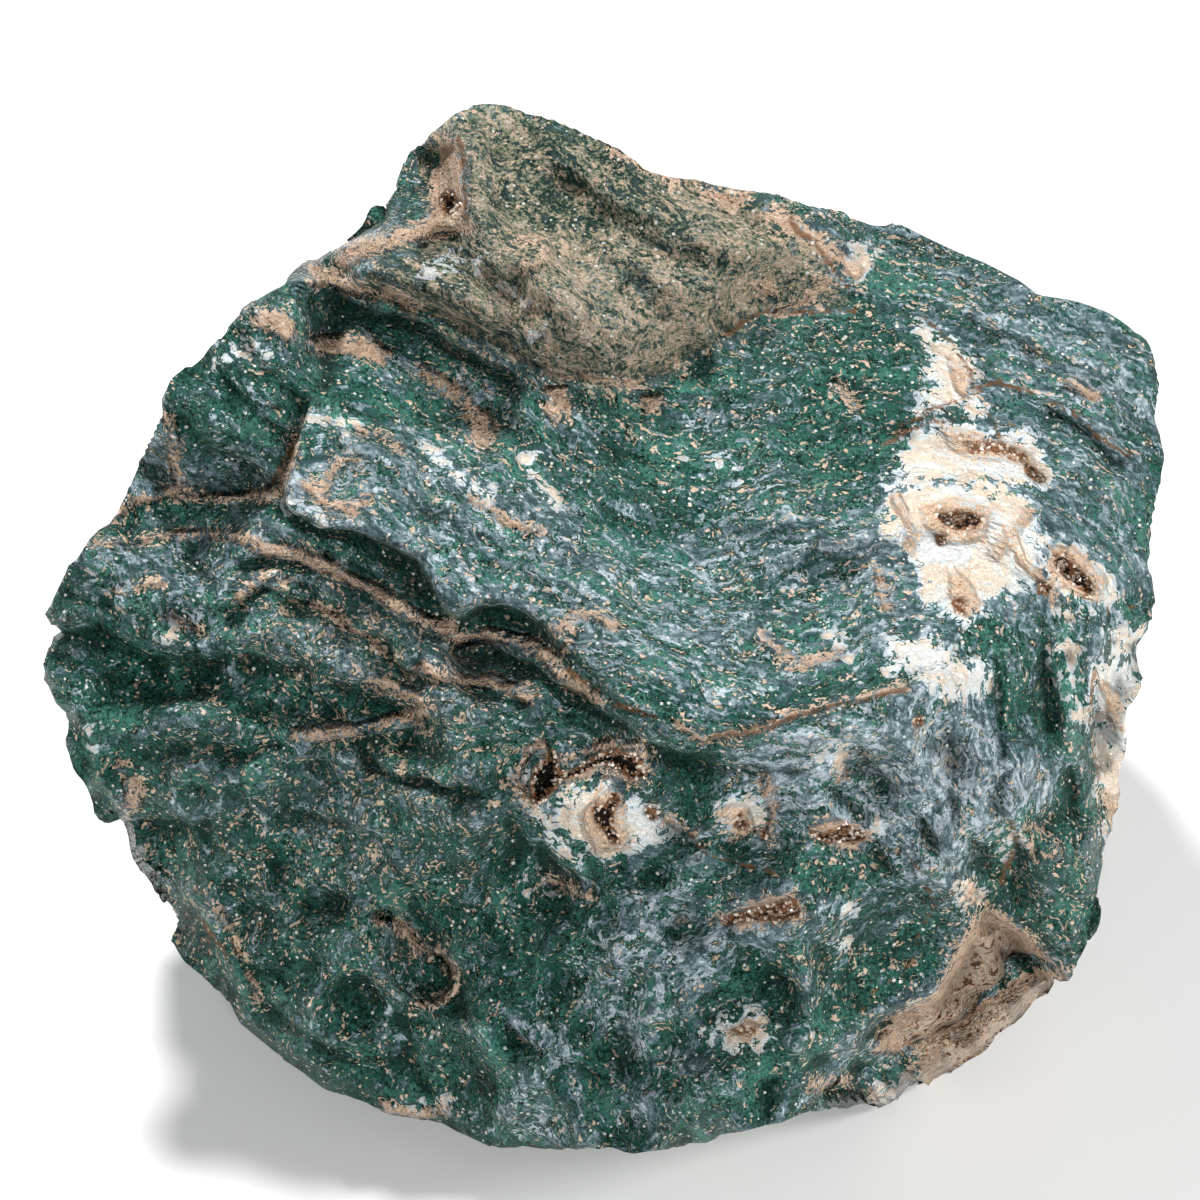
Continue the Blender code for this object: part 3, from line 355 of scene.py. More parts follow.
        ([(-12.2, 10.4), (-10, 8.6), (-8, 7)], 1.2),
        ([(-4.9, 9.6), (-4.1, 8), (-3.1, 6.8)], 1.1),
        ([(6.3, 9.9), (9.8, 9.5)], 0.8),
        ([(-31.2, -1.4), (-29.2, -1), (-28.8, -2.4), (-30.8, -2.8)], 0),
        ([(-36.6, -9.2), (-36.2, -10), (-35.9, -10.8)], 0.7),
        ([(-15.6, -35.4), (-14.4, -35.2), (-14, -36.2), (-15.2, -36.4)], 0),
        ([(-13.4, -35.9), (-12, -35.8), (-12.3, -36.7), (-13.3, -36.8)], 0),
        ([(-12, -35.1), (-10.6, -35), (-10.6, -36), (-11.8, -36)], 0),
        ([(-12.4, 23.6), (-10, 24.6), (-8.6, 24.2)], 0.8),
        ([(-6.6, 22.4), (-5.4, 21.6)], 0.6),
        ([(17, 23.4), (18.4, 25.2), (20, 24.6), (18.8, 22.8)], 0),
        ([(-6.3, 19.2), (-5.2, 18.6), (-4.2, 19.4)], 0.5),
        ([(-5.6, -20.4), (-4.4, -19.2), (-3.4, -20.6)], 0.6),
        ([(-23.4, 7.4), (-21, 6.6), (-19.8, 5.7)], 0.5),
        ([(16, -1.8), (17.6, -4.4), (18.4, -6)], 0.5),
        ([(-27.6, 17.2), (-25.2, 18), (-24, 17.4)], 0.6),
    ],
    "tan": [
        ([(-24.6, 20.4), (-23, 20.6), (-21.4, 19.8), (-21.6, 18.6), (-23.4, 18.8), (-24.8, 19.2)], 0),
        ([(-20.6, 18.6), (-17, 19), (-14.6, 17.8), (-15.2, 16.6), (-17.6, 17.4), (-20.2, 17.4)], 0),
        ([(-12.4, 16.2), (-11, 15), (-9.6, 14.2), (-8.8, 12.8), (-8.4, 11.4)], 0.9),
        ([(-10, 13.4), (-8, 13.2), (-7.4, 11.6), (-9, 11)], 0),
        ([(-4.2, 15.2), (-2, 15.4), (-1.6, 13.6), (-3, 12.8), (-3.8, 13.8)], 0),
        ([(2.8, 14.4), (4.4, 14.6), (4.6, 13.4), (3.2, 13.2)], 0),
        ([(-3.2, -2.2), (-1.6, -1), (-0.2, -1.2), (1, -1.8)], 0.7),
        ([(-2.4, -3.6), (-1.8, -2.6), (-2.2, -1.6)], 0.4),
        ([(11.6, -2.4), (12.4, -3), (13.4, -4.2)], 0.8),
        ([(13.2, -4.8), (15, -4.6), (16.6, -3.8)], 0.8),
        ([(-26, 4.9), (-24.4, 3.9), (-22, 3.4), (-19, 2.5), (-16.4, 0.9), (-14.7, -0.4), (-11, -2)], 1.0),
        ([(-12.5, -4.7), (-10, -5.6), (-7.5, -6), (-4.8, -6.8)], 0.9),
        ([(-10.5, -3), (-8, -2.6), (-5.4, -3.2), (-3.4, -4.4), (-1.6, -6), (0, -7.1)], 0.8),
        ([(-20.4, -0.4), (-18.4, -1.6), (-16.6, -3.2), (-14.6, -4.6)], 0.5),
        ([(-26, 0.4), (-24, 1.5), (-22, 1.4)], 0.5),
        ([(-34.4, 0.4), (-33, 1), (-31.6, 1.2)], 0.4),
        ([(-30.6, -1.2), (-28.6, -2.4)], 0.5),
        ([(-22, -9.4), (-19.6, -9.4), (-17.4, -9.2), (-14.6, -8.5), (-12.4, -8)], 0.8),
        ([(-16.4, -5.6), (-13.6, -6.6), (-12.2, -8)], 0.6),
        ([(-34.6, 6), (-31.4, 7.5), (-27, 7.5), (-23.6, 7.4), (-22.8, 8.2), (-21.4, 12.6)], 0.5),
        ([(-31, 13), (-30.2, 10.6), (-30.2, 7.8)], 0.5),
        ([(-37, 4.4), (-33, 4.3), (-30.5, 4.7), (-26, 5.1)], 0.35),
        ([(-13.9, 26.4), (-12.4, 27.4), (-12.2, 30), (-11, 33.4), (-9.9, 32.6), (-9.7, 29.6), (-10.3, 27)], 0),
        ([(-9.6, 27.1), (-13.8, 26.2), (-17.4, 24.6), (-20.2, 22.9)], 1.1),
        ([(-20.6, 24), (-18.6, 22.8), (-15.6, 21.8), (-13, 20.8)], 0.9),
        ([(-5.8, 25.8), (-4.4, 25.9), (-3.9, 24.4), (-5.2, 23.8)], 0.5),
        ([(7, 29.9), (11, 29.2), (10, 27.8), (7.4, 28.6)], 0),
        ([(0.6, 31.8), (3, 30.8), (5.4, 29.6)], 0.8),
        ([(12.4, 27.4), (15, 26.2), (17, 24.6), (18.2, 23.6)], 1.1),
        ([(16, 22.4), (15, 21.2), (13, 20.4)], 0.7),
        ([(10.4, 22.6), (12, 21.6), (13, 22.2), (12.2, 23.2)], 0),
        ([(-2.2, 16.2), (0.6, 15.6), (2.6, 15.6)], 0.5),
        ([(24.2, 12.2), (27, 11.8), (30.8, 10.6), (31, 9.6), (28, 9.8), (25, 10.6)], 0),
        ([(24.6, 17.4), (26.4, 16.6), (26.8, 14.6), (25.4, 15)], 0),
        ([(23, 6.9), (25.2, 7.3), (28, 6.3), (27.4, 4.6), (24.6, 4.2), (23, 5.4)], 0),
        ([(24.8, 2.6), (26.4, 1.6), (27.6, -0.4), (26.2, -1.2), (24.8, 0.2)], 0),
        ([(21.2, 7.4), (21.8, 5.6), (22.2, 3.6)], 0.7),
        ([(28, 3.4), (29.4, 4.4), (30.6, 6.2)], 0.7),
        ([(32, 4), (33.8, 4), (35.9, 1.4), (35.3, 0.1), (33.2, 1.2), (32, 2.8)], 0),
        ([(31, 2), (32.2, 1.6), (32.4, 0)], 0.8),
        ([(36, -6), (37.4, -7), (37.2, -9.4), (36.2, -8.6)], 0),
        ([(35.9, -13.6), (37.3, -14), (38, -18.6), (37.6, -21), (36.6, -20.8), (36.3, -17)], 0),
        ([(27.4, -21.4), (30.3, -23.3), (33.4, -27.2), (38, -29), (28, -41), (22, -41), (23, -33), (19.6, -32.4), (21, -29.6), (24, -28), (25, -25.8), (26, -23.6)], 0),
        ([(-5.2, -15), (-5.8, -13), (-5, -11), (-3.9, -10.4), (-3.2, -11.4), (-1, -11.2), (1.4, -10.3), (3.4, -10.6), (3.8, -12.2)], 0.5),
        ([(-2.6, -12.9), (-0.8, -12.6), (1.2, -12.4), (3.4, -12.7)], 0.5),
        ([(0.2, -13.6), (1.4, -13.6), (1.9, -16), (2.2, -17.8), (0, -18), (-1.2, -15.4)], 0),
        ([(4.6, -15.6), (6.8, -16.8)], 0.5),
        ([(8.8, -15.2), (10.4, -14.8), (10.8, -16.4), (9.2, -16.9)], 0),
        ([(11.8, -13.2), (12.6, -15.2), (12.2, -17)], 0.6),
        ([(14.8, -16.4), (16.6, -16), (19.2, -16.2), (18.8, -17.8), (16.6, -17.7)], 0),
        ([(8.2, -22.8), (13.8, -20.9), (14.5, -22.9), (10, -23.4)], 0),
        ([(9.1, -31), (10.2, -30.1), (11.5, -30.8), (10.4, -31.6)], 0),
        ([(25.9, -20.6), (26.7, -20.1), (27, -21.2), (26.2, -21.5)], 0),
        ([(17, -11.4), (17.2, -12.6)], 0.6),
        ([(29.2, -16.2), (31.8, -16.2), (33, -18), (30.8, -18)], 0.4),
        ([(-15.5, -23.3), (-14, -23.4), (-13, -24.8), (-11.6, -24.8)], 0.7),
        ([(-11.4, -24.8), (-10.7, -26), (-10.4, -27.5), (-11.4, -28.7), (-13, -29)], 0.45),
        ([(-34.6, -11.2), (-33.4, -11.2), (-33.8, -12), (-34.8, -12)], 0),
        ([(-34.2, -12.8), (-33, -12.6), (-32.8, -14.8), (-34, -15.2)], 0),
        ([(-3.5, -20), (-2, -20.4), (-0.8, -21.4)], 0.7),
        ([(-15.6, -35.9), (-13, -36.4), (-10.4, -36.2)], 0.6),
        ([(15, -34.9), (17.5, -34.6), (19.5, -35.4)], 0.6),
        ([(5.5, -8.9), (7.6, -10.2), (10, -9.4), (12.5, -8.6), (17.5, -7.4), (22, -6.3)], 0.4),
        ([(-27.2, -22.4), (-25.6, -25.4), (-24.2, -28.4)], 0.35),
        ([(-21.2, 8.6), (-19.4, 7.2), (-17.6, 6.6), (-16.4, 7.4)], 0.7),
        ([(-17.2, 12.2), (-15, 11.6), (-14, 10.8)], 0.5),
        ([(-19.6, 8), (-18.6, 9.8), (-17.6, 10.4)], 0.5),
        ([(17, 15.4), (18.2, 14)], 0.6), ([(33.4, 15.6), (35.4, 14.6)], 0.5), ([(29, 5), (30, 2.6)], 0.5),
        ([(20, 1.8), (20.6, -0.6)], 0.6), ([(-9.4, 7.2), (-6.4, 5.2), (-4.4, 4.8)], 0.4),
    ],
    "rust": [
        ([(23.1, 20.3), (24.4, 18.8), (25.6, 17.6), (27, 15.2), (28, 12.8), (28.7, 11.2)], 0.28),
        ([(26.3, 14.9), (24, 13.4), (21.5, 12.4), (20, 10.9)], 0.22),
        ([(20, 10.9), (23, 12.4), (25, 12.8)], 0.2),
        ([(27.3, 15.2), (28.5, 16.1), (31.5, 14.9)], 0.25),
        ([(32.5, 14.3), (35, 12.2), (38, 10)], 0.3),
        ([(34.5, 0.4), (36.4, -0.8), (38.8, -0.4)], 0.25),
        ([(28.4, -20), (29.6, -18), (29.2, -15.6)], 0.3),
        ([(-28.6, -22.6), (-27.2, -24.6), (-26, -26.8)], 0.25),
        ([(7.6, -10.1), (10, -9.5), (12.5, -8.8), (17.5, -7.6), (22, -6.5)], 0.25),
        ([(-2.2, -4.6), (-0.2, -6.2), (1.6, -7.9), (4.6, -8.9)], 0.3),
        ([(5.6, -16.2), (8, -18.4), (12, -19.2)], 0.2),
        ([(22, -18), (23.6, -22), (22, -26), (18, -29.4)], 0.2),
        ([(-21.4, 13.4), (-22.6, 9.6), (-23.6, 7.8)], 0.35),
        ([(35.4, -5), (35, -9), (35.6, -13)], 0.2),
        ([(13.6, 27.2), (16, 25), (17.4, 22)], 0.3),
        ([(-9.9, 33), (-9.6, 30), (-10, 27.4)], 0.4),
        ([(9, 19.4), (12.2, 20.5), (15.2, 20.6), (18, 20.4)], 0.3),
    ],
    "granular": [  # the raised block's olive and tan mottled faces
        ([(-11.5, 34), (-6, 35.4), (3, 31), (10, 29.4), (17, 25.5), (17, 21), (12, 20.4), (8, 18), (2.5, 15.2), (-3, 15.8), (-10, 19.5), (-16.5, 22.8), (-13, 25.6), (-9.8, 27.4), (-9.6, 31)], 0),
        ([(-13.6, 31), (-12, 33.6), (-8.4, 35.2), (-10, 31), (-12.4, 28.4)], 0),
    ],
}

# Lines that the threads run along, as seen.
threadLines = [
    [(-28, 17), (-15, 14), (-8, 8), (0, 4), (8, 2), (16, 4), (24, 9)],
    [(-20, 9), (-12, 5), (-8, 1), (-2, -1), (4, -5), (8, -8)],
    [(8, -8), (14, -6), (22, -4)],
    [(-10, 17), (0, 13), (8, 13), (16, 16), (24, 20), (32, 20)],
    [(20, 25), (28, 22), (38, 16)], [(24, 14), (30, 10), (37, 4)],
    [(-9, 33), (-2, 28), (6, 24), (14, 22)], [(-17, 23.5), (-10, 21), (-3, 17), (4, 17)], [(0, 31), (10, 27), (18, 25)],
    [(-37, 1), (-28, 0), (-18, -3), (-10, -7)], [(-38, -5), (-26, -6), (-14, -9)],
    [(-36, -10), (-22, -12), (-10, -15)], [(-33, -17), (-22, -22), (-14, -30), (-8, -36)],
    [(-30, -22), (-22, -30), (-14, -35)], [(-12, -17), (-6, -25), (0, -34)],
    [(4, -12), (2, -20), (2, -30), (4, -37)], [(10, -11), (14, -16), (12, -24), (8, -30)],
    [(27, -23), (20, -27), (13, -34)], [(16, -9), (22, -13), (25, -19), (22, -25)],
    [(33, -3), (31, -8), (28, -14)], [(36, -5), (35.5, -12), (32, -20), (33, -27)],
]


def ramp(x):  # 0 below 0 and 1 above 1, with an S curve between
    x = np.clip(x, 0, 1)
    return x * x * (3 - 2 * x)


def lowerOf(a, b, rounding):  # the lower of two heights, with the ridge between them rounded
    mix = np.clip(0.5 + 0.5 * (b - a) / rounding, 0, 1)
    return b + (a - b) * mix - rounding * mix * (1 - mix)


def higherOf(a, b, rounding):
    return -lowerOf(-a, -b, rounding)


def slope(u, v, at, rise):  # a plane through at = (u, v, d) that rises by rise = (per u, per v)
    return at[2] + rise[0] * (u - at[0]) + rise[1] * (v - at[1])


def latticeValue(column, row, layer, seed):  # a repeatable value from 0 to 1 for each whole-numbered place
    mixed = column * 374761393 + row * 668265263 + layer * 2147483647 + seed * 1442695041
    mixed = mixed.astype(np.int64) & 0xFFFFFFFF
    mixed = ((mixed ^ (mixed >> 13)) * 1274126177) & 0xFFFFFFFF
    return ((mixed ^ (mixed >> 16)) & 0xFFFF) / 65535.0


def noise(points, size, seed):  # smooth noise from -0.5 to 0.5: lattice values blended by S curves along x, y and z
    places = points / size + seed * 7.31
    whole = np.floor(places)
    part = places - whole
    part = part * part * (3 - 2 * part)
    total = 0.0
    for corner in range(8):
        step = np.array([corner & 1, (corner >> 1) & 1, corner >> 2])
        weight = np.prod(np.where(step == 1, part, 1 - part), axis=-1)
        at = (whole + step).astype(np.int64)
        total = total + weight * latticeValue(at[..., 0], at[..., 1], at[..., 2], seed)
    return total - 0.5


def layeredNoise(points, size, seed, layers):  # each layer is half the size and half the strength of the last
    return sum(noise(points, size / 2**k, seed + k) / 2**k for k in range(layers))


def runs(line, closed):
    return list(zip(line, line[1:] + line[:1])) if closed else list(zip(line, line[1:]))


def nearestRun(u, v, ends):  # distance to the nearest straight run, and the side of it, positive on its left
    nearest = np.full(u.shape, np.inf)
    side = np.ones(u.shape)
    for (au, av), (bu, bv) in ends:
        eu, ev = bu - au, bv - av
        along = np.clip(((u - au) * eu + (v - av) * ev) / (eu * eu + ev * ev), 0, 1)
        away = (u - au - along * eu) ** 2 + (v - av - along * ev) ** 2
        side = np.where(away < nearest, np.sign(eu * (v - av) - ev * (u - au)), side)
        nearest = np.minimum(nearest, away)
    return np.sqrt(nearest), side


def depthInside(u, v, shape):  # distance to a closed outline, positive inside: an odd number of runs crosses the ray
    ends = runs(shape, True)
    within = np.zeros(u.shape, bool)
    for (au, av), (bu, bv) in ends:
        if av != bv:
            within ^= ((av > v) != (bv > v)) & (u < (bu - au) * (v - av) / (bv - av) + au)
    return np.where(within, 1, -1) * nearestRun(u, v, ends)[0]


def leftOf(u, v, line):  # distance to an open line, positive on the left of someone walking along it
    away, side = nearestRun(u, v, runs(line, False))
    return away * side


def middleOf(u, v, line):  # 1 along the middle of a line, fading to 0 toward both of its ends
    (au, av), (bu, bv) = line[0], line[-1]
    eu, ev = bu - au, bv - av
    along = ((u - au) * eu + (v - av) * ev) / (eu * eu + ev * ev)
    return ramp(along / 0.15) * ramp((1 - along) / 0.15)


def nearTo(u, v, shape, reach):  # the places in the box round a shape, widened by reach
    corners = np.array(shape, float)
    low, high = corners.min(axis=0) - reach, corners.max(axis=0) + reach
    return (u > low[0]) & (u < high[0]) & (v > low[1]) & (v < high[1])


def notch(u, v, front):  # the open corner on the left: a low block with a shelf on top, and the wall behind it
    wall = slope(u, v, (-27, 7.6, 9.4), (0.10, 0.16))
    above = slope(u, v, (-25, 15.6, 10.5), (0.16, -0.72))
    flank = slope(u, v, (-30.4, 10, 9.4), (1.1, 0.25))
    behind = lowerOf(lowerOf(wall, above, 0.6), flank, 0.4)
    face = slope(u, v, (-32, -2.7, 13.3), (0.14, -0.34))
    shelf = slope(u, v, (-28, 7.5, 9.6), (0.10, -1.0))
    return higherOf(lowerOf(lowerOf(face, shelf, 0.8), front, 0.7), behind, 0.5)


def belowLip(u, v, points):  # everything under the plateau's lip: the near faces, the layered steps and the notch
    right = slope(u, v, (8, -10, 23.4), (-0.34, 0.40)) + 1.2 * layeredNoise(points, 15, 7, 2)
    right = lowerOf(right, slope(u, v, (33, -9, 14.5), (-0.9, 0.25)), 2.0)
    left = slope(u, v, (8, -10, 22.8), (0.31, 0.40)) + 1.4 * layeredNoise(points, 16, 11, 2)
    front = lowerOf(left, right, 2.5)
    steps = lowerOf(slope(u, v, (-14, -6, 17.6), (0.15, -0.5)), front, 0.7)
    height = steps + (notch(u, v, front) - steps) * ramp((-18 - u) / 6)
    under = -leftOf(u, v, mainForms["blockEdge"])
    wall = 2.8 * ramp(under / 1.7) * np.exp(-np.maximum(under - 2.2, 0) / 8) * ramp((-9 - u) / 8)
    return np.where(under > 0, np.minimum(height, front) - wall, height)


def plateau(u, v, points):
    level = slope(u, v, (8, -10, 24), (-0.05, -0.62)) + 1.4 * layeredNoise(points, 17, 3, 2)
    return lowerOf(level, slope(u, v, (31, 5, 14), (-0.62, -0.30)), 3.0)


def knob(u, v, height):  # the block that stands on the plateau's back rises by 1 - exp(-(distance / width)^1.3)
    inner = np.maximum(depthInside(u, v, mainForms["knob"]), 0)
    tall = 5.6 * (1 - 0.68 * ramp((u - 2) / 20))
    width = 1.4 + 1.3 * ramp((u + 8) / 8)
    raised = height + tall * (1 - np.exp(-((inner / width) ** 1.5)))
    behind = np.maximum(-leftOf(u, v, mainForms["knobRidge"]), 0) * (inner > 0)
    raised = raised - np.minimum(4.0, 1.5 * behind)
    lobe = depthInside(u, v, mainForms["lobe"])
    return raised - np.where(lobe > 0, 2.2 * ramp(lobe / 0.6) - 1.6 * ramp(lobe / 2.5), 0)


def rightRim(u, v, points):  # how far the crust's recess, the dark block and the pale rim change the height
    crust = depthInside(u, v, mainForms["crust"])
    block = depthInside(u, v, mainForms["darkBlock"])
    pale = depthInside(u, v, mainForms["paleRim"])
    recess = 1.8 * layeredNoise(points, 4.2, 31, 2) - 2.6 * ramp((u - 15) / 9)
    lumpy = 0.9 * layeredNoise(points, 2.4, 41, 2) - 1.2
    return recess * ramp(crust / 1.5) + 1.8 * ramp(block / 1.4) + lumpy * ramp(pale / 0.8)


def mainRelief(u, v):  # height toward the viewer of the main forms, over the whole picture
    points = np.stack([u, v, np.zeros(u.shape)], axis=-1)
    low = belowLip(u, v, points)
    onPlateau = depthInside(u, v, mainForms["lip"] + mainForms["plateauBack"])
    soft = 0.6 + 5.5 * ramp((v - 13.5) / 3) * ramp((-10 - u) / 6)  # the lip dies out up the left side
    height = low + (plateau(u, v, points) - low) * ramp(onPlateau / soft + 0.55)
    height = knob(u, v, height) + rightRim(u, v, points)
    under = np.maximum(-leftOf(u, v, mainForms["underRidge"]), 0)
    return height - 1.5 * under - 0.8 * ramp(under / 0.8)


def fineRelief(u, v):  # how far the small ledges, and apart from them the hollows, lie below the main forms
    points = np.stack([u, v, np.zeros(u.shape)], axis=-1)
    warpedU = u + 0.9 * layeredNoise(points, 2.6, 61, 2)
    warpedV = v + 0.9 * layeredNoise(points, 2.6, 71, 2)
    total = np.zeros(u.shape)
    for line, drop, width, reach in ledges:
        drop, width = drop * brokenFaces["ledgeDrop"], width * brokenFaces["ledgeWall"]
        near = nearTo(u, v, line, 3 * reach)
        wu, wv = warpedU[near], warpedV[near]
        away = np.maximum(-leftOf(wu, wv, line), 0)
        fall = ramp(away / width) * np.exp(-np.maximum(away - width, 0) / reach)
        total[near] += drop * fall * middleOf(wu, wv, line) * ramp(4 - away / reach)
    for line, rise, width in ribs:
        near = nearTo(u, v, line, 3 * width)
        away = nearestRun(warpedU[near], warpedV[near], runs(line, False))[0]
        total[near] -= rise * np.exp(-((away / width) ** 2)) * middleOf(u[near], v[near], line)
    hollow = np.zeros(u.shape)
    for mouth, depth, width in hollows:
        near = nearTo(u, v, mouth, 1.5)
        inner = depthInside(warpedU[near] * 0.7 + u[near] * 0.3, warpedV[near] * 0.7 + v[near] * 0.3, mouth)
        hollow[near] += depth * brokenFaces["hollowDepth"] * ramp((inner + 0.15) / width)
    return total, hollow


def tableGrid():
    step = stoneMesh["tableStep"]
    return np.meshgrid(np.arange(*stoneMesh["tableU"], step), np.arange(*stoneMesh["tableV"], step))


def readTable(table, u, v):  # values between the samples, by straight interpolation both ways
    column = np.clip((u - stoneMesh["tableU"][0]) / stoneMesh["tableStep"], 0, table.shape[1] - 1.001)
    row = np.clip((v - stoneMesh["tableV"][0]) / stoneMesh["tableStep"], 0, table.shape[0] - 1.001)
    i, j = column.astype(int), row.astype(int)
    x, y = column - i, row - j
    near = table[j, i] * (1 - x) + table[j, i + 1] * x
    far = table[j + 1, i] * (1 - x) + table[j + 1, i + 1] * x
    return near * (1 - y) + far * y


def signedDistance(u, v, zones, reach=3.0):  # how deep each point lies inside the nearest patch or streak of a colour
    total = np.full(u.shape, -reach)
    for shape, width in zones:
        near = nearTo(u, v, shape, reach)
        if width:
            inner = width / 2 - nearestRun(u[near], v[near], runs(shape, False))[0]
        else:
            inner = depthInside(u[near], v[near], shape)
        total[near] = np.maximum(total[near], np.minimum(inner, reach))
    return total


def potential(slopeU, slopeV):  # the height map whose slopes come nearest to the two given, by Fourier transform
    u, v = tableGrid()
    perU = 2j * math.pi * np.fft.fftfreq(u.shape[1], stoneMesh["tableStep"])[None, :]
    perV = 2j * math.pi * np.fft.fftfreq(u.shape[0], stoneMesh["tableStep"])[:, None]
    size = np.abs(perU) ** 2 + np.abs(perV) ** 2
    size[0, 0] = 1
    meanU, meanV = slopeU.mean(), slopeV.mean()
    waves = perU.conj() * np.fft.fft2(slopeU - meanU) + perV.conj() * np.fft.fft2(slopeV - meanV)
    return np.fft.ifft2(waves / size).real + meanU * u + meanV * v


def flowFields():  # how far along and how far across the thread lines each place lies, in millimetres
    u, v = tableGrid()
    du, dv = np.zeros(u.shape), np.zeros(u.shape)
    for line in threadLines:
        for (au, av), (bu, bv) in runs(line, False):
            length = math.hypot(bu - au, bv - av)
            for share in (0.25, 0.75):
                away = (u - au - share * (bu - au)) ** 2 + (v - av - share * (bv - av)) ** 2
                weight = 1 / (away + 4) ** 2
                du += weight * (bu - au) / length
                dv += weight * (bv - av) / length
    places = np.stack([u, v, np.zeros(u.shape)], axis=-1)
    angle = np.arctan2(dv, du) + 1.1 * layeredNoise(places, 6, 81, 2)
    return potential(np.cos(angle), np.sin(angle)), potential(-np.sin(angle), np.cos(angle))


def scoops(places, size, tilt, seed):  # broken faces: hollow bowls, one to a cell, that meet in sharp ridges
    places = places / size
    whole = np.floor(places)
    axes = range(places.shape[-1])
    highest = np.full(places.shape[:-1], -10.0)
    for neighbour in np.ndindex((3,) * len(axes)):
        cell = whole + np.array(neighbour) - 1
        index = [cell[..., k].astype(np.int64) for k in axes] + [np.int64(0)] * (3 - len(axes))
        total = 0.5 * (latticeValue(*index, seed + 9) - 0.5)
        for k in axes:
            away = places[..., k] - cell[..., k] - latticeValue(*index, seed + k)
            total = total + tilt * 2 * (latticeValue(*index, seed + 4 + k) - 0.5) * away - 0.55 * away**2
        highest = np.maximum(highest, total)
    return -size * highest


def blurred(table, size):  # each wave is weakened by exp(-(2 pi size / wavelength)^2 / 2)
    perU = np.fft.fftfreq(table.shape[1], stoneMesh["tableStep"])[None, :]
    perV = np.fft.fftfreq(table.shape[0], stoneMesh["tableStep"])[:, None]
    weight = np.exp(-2 * (math.pi * size) ** 2 * (perU**2 + perV**2))
    return np.fft.ifft2(np.fft.fft2(table) * weight).real


def reliefTables():  # the relief sampled on a regular grid, with its steepness and the distances to the outline
    u, v = tableGrid()
    height = mainRelief(u, v)
    perV, perU = np.gradient(height, stoneMesh["tableStep"])
    small, hollow = fineRelief(u, v)
    along, across = flowFields()
    bent = np.stack([0.3 * along, across, np.zeros(u.shape)], axis=-1)
    fibres = noise(bent, 1.9, 91) + 0.55 * noise(bent, 0.9, 92)
    warped = np.stack([u, v], axis=-1) + 2.2 * noise(np.stack([u, v, 0 * u], axis=-1), 5, 95)[..., None]
    broken = 0.9 * scoops(warped, 7.5, 0.5, 201) + 0.75 * scoops(warped, 2.9, 0.5, 221)
    onPlateau = ramp(depthInside(u, v, mainForms["lip"] + mainForms["plateauBack"]) / 1.5 + 0.5)
    places = np.stack([u, v, 0 * u], axis=-1)
    turn = across / brokenFaces["strataEvery"] + 1.3 * layeredNoise(places, 8, 301, 2)
    turn -= np.floor(turn)
    strata = (ramp(turn / 0.12) - turn) * ramp((noise(places, 6, 303) + 0.12) / 0.25)
    crust = ramp(depthInside(u, v, mainForms["crust"]) / 1.5)
    broken *= brokenFaces["front"] + (brokenFaces["plateau"] - brokenFaces["front"]) * onPlateau
    broken += brokenFaces["strata"] * (1 - 0.7 * onPlateau) * strata * (1 - crust)
    broken += brokenFaces["crust"] * crust * (scoops(warped, 4.2, 1.2, 231) + scoops(warped, 1.7, 1.0, 233))
    fine = small + hollow - brokenFaces["fibres"] * fibres - (broken - broken.mean())
    narrow, wide = brokenFaces["creaseSizes"]
    return {
        "height": height,
        "steepness": np.sqrt(1 + perU**2 + perV**2),
        "edge": depthInside(u, v, outline) + farSide["outlineMargin"],
        "softEdge": depthInside(u, v, outline[::farSide["softEdgeEvery"]]) + farSide["outlineMargin"],
        "fine": fine,
        # the crease measure, which the colour uses for painted shade in creases and painted highlight on convex edges
        "crease": blurred(height - fine, wide) - blurred(height - fine, narrow),
        "sudden": small + hollow,
        "hollow": hollow,
        "along": along,
        "across": across,
    }


def pictureToWorld(points):  # turns right, up the picture and toward the viewer into x, y and z
    tilt = pictureView["elevation"]
    right, up, toward = points[..., 0], points[..., 1], points[..., 2]
    y = up * math.sin(tilt) - toward * math.cos(tilt)
    z = up * math.cos(tilt) + toward * math.sin(tilt) + pictureView["centreHeight"]
    return np.stack([right, y, z], axis=-1)


def asSeen(points):  # where the viewer sees each point: its place shrinks with its distance
    shrink = pictureView["distance"] / (pictureView["distance"] - points[..., 2])
    return points[..., 0] * shrink, points[..., 1] * shrink


def fromSeen(u, v, toward):  # the opposite: the point that is seen at u and v and stands so far toward the viewer
    back = 1 - toward / pictureView["distance"]
    return np.stack([u * back, v * back, toward], axis=-1)


def farSideGap(world):  # how far a point lies outside the planes of the far side and the underside
    total = np.full(world.shape[:-1], -100.0)
    for direction, at in farSide["planes"]:
        outward = np.array(direction) / np.linalg.norm(direction)
        total = higherOf(total, (world - np.array(at, float)) @ outward, farSide["edge"])
    return total - farSide["margin"] + 2.4 * noise(world, 17, 5) - 1.2 * layeredNoise(world, 7, 21, 2)


def outside(points, tables):  # below 0 inside the stone and above 0 outside it, near enough a distance in mm
    u, v = asSeen(points)
    beyond = points[..., 2] - readTable(tables["height"], u, v)
    behind = np.maximum(-beyond, 0)
    inner = readTable(tables["edge"], u, v)
    inner += (readTable(tables["softEdge"], u, v) - inner) * ramp(behind / farSide["rimReach"])
    drawnIn = farSide["rimSlant"] * np.minimum(behind, farSide["rimReach"]) + farSide["rimSlantAfter"] * behind
    body = higherOf(beyond / readTable(tables["steepness"], u, v), drawnIn - inner, farSide["rimRounding"])
    world = pictureToWorld(points)
    farGap = farSideGap(world) - farSide["rimSpare"] * (1 - ramp(behind / farSide["spareReach"]))
    return np.maximum(np.maximum(body, farGap), -world[..., 2])


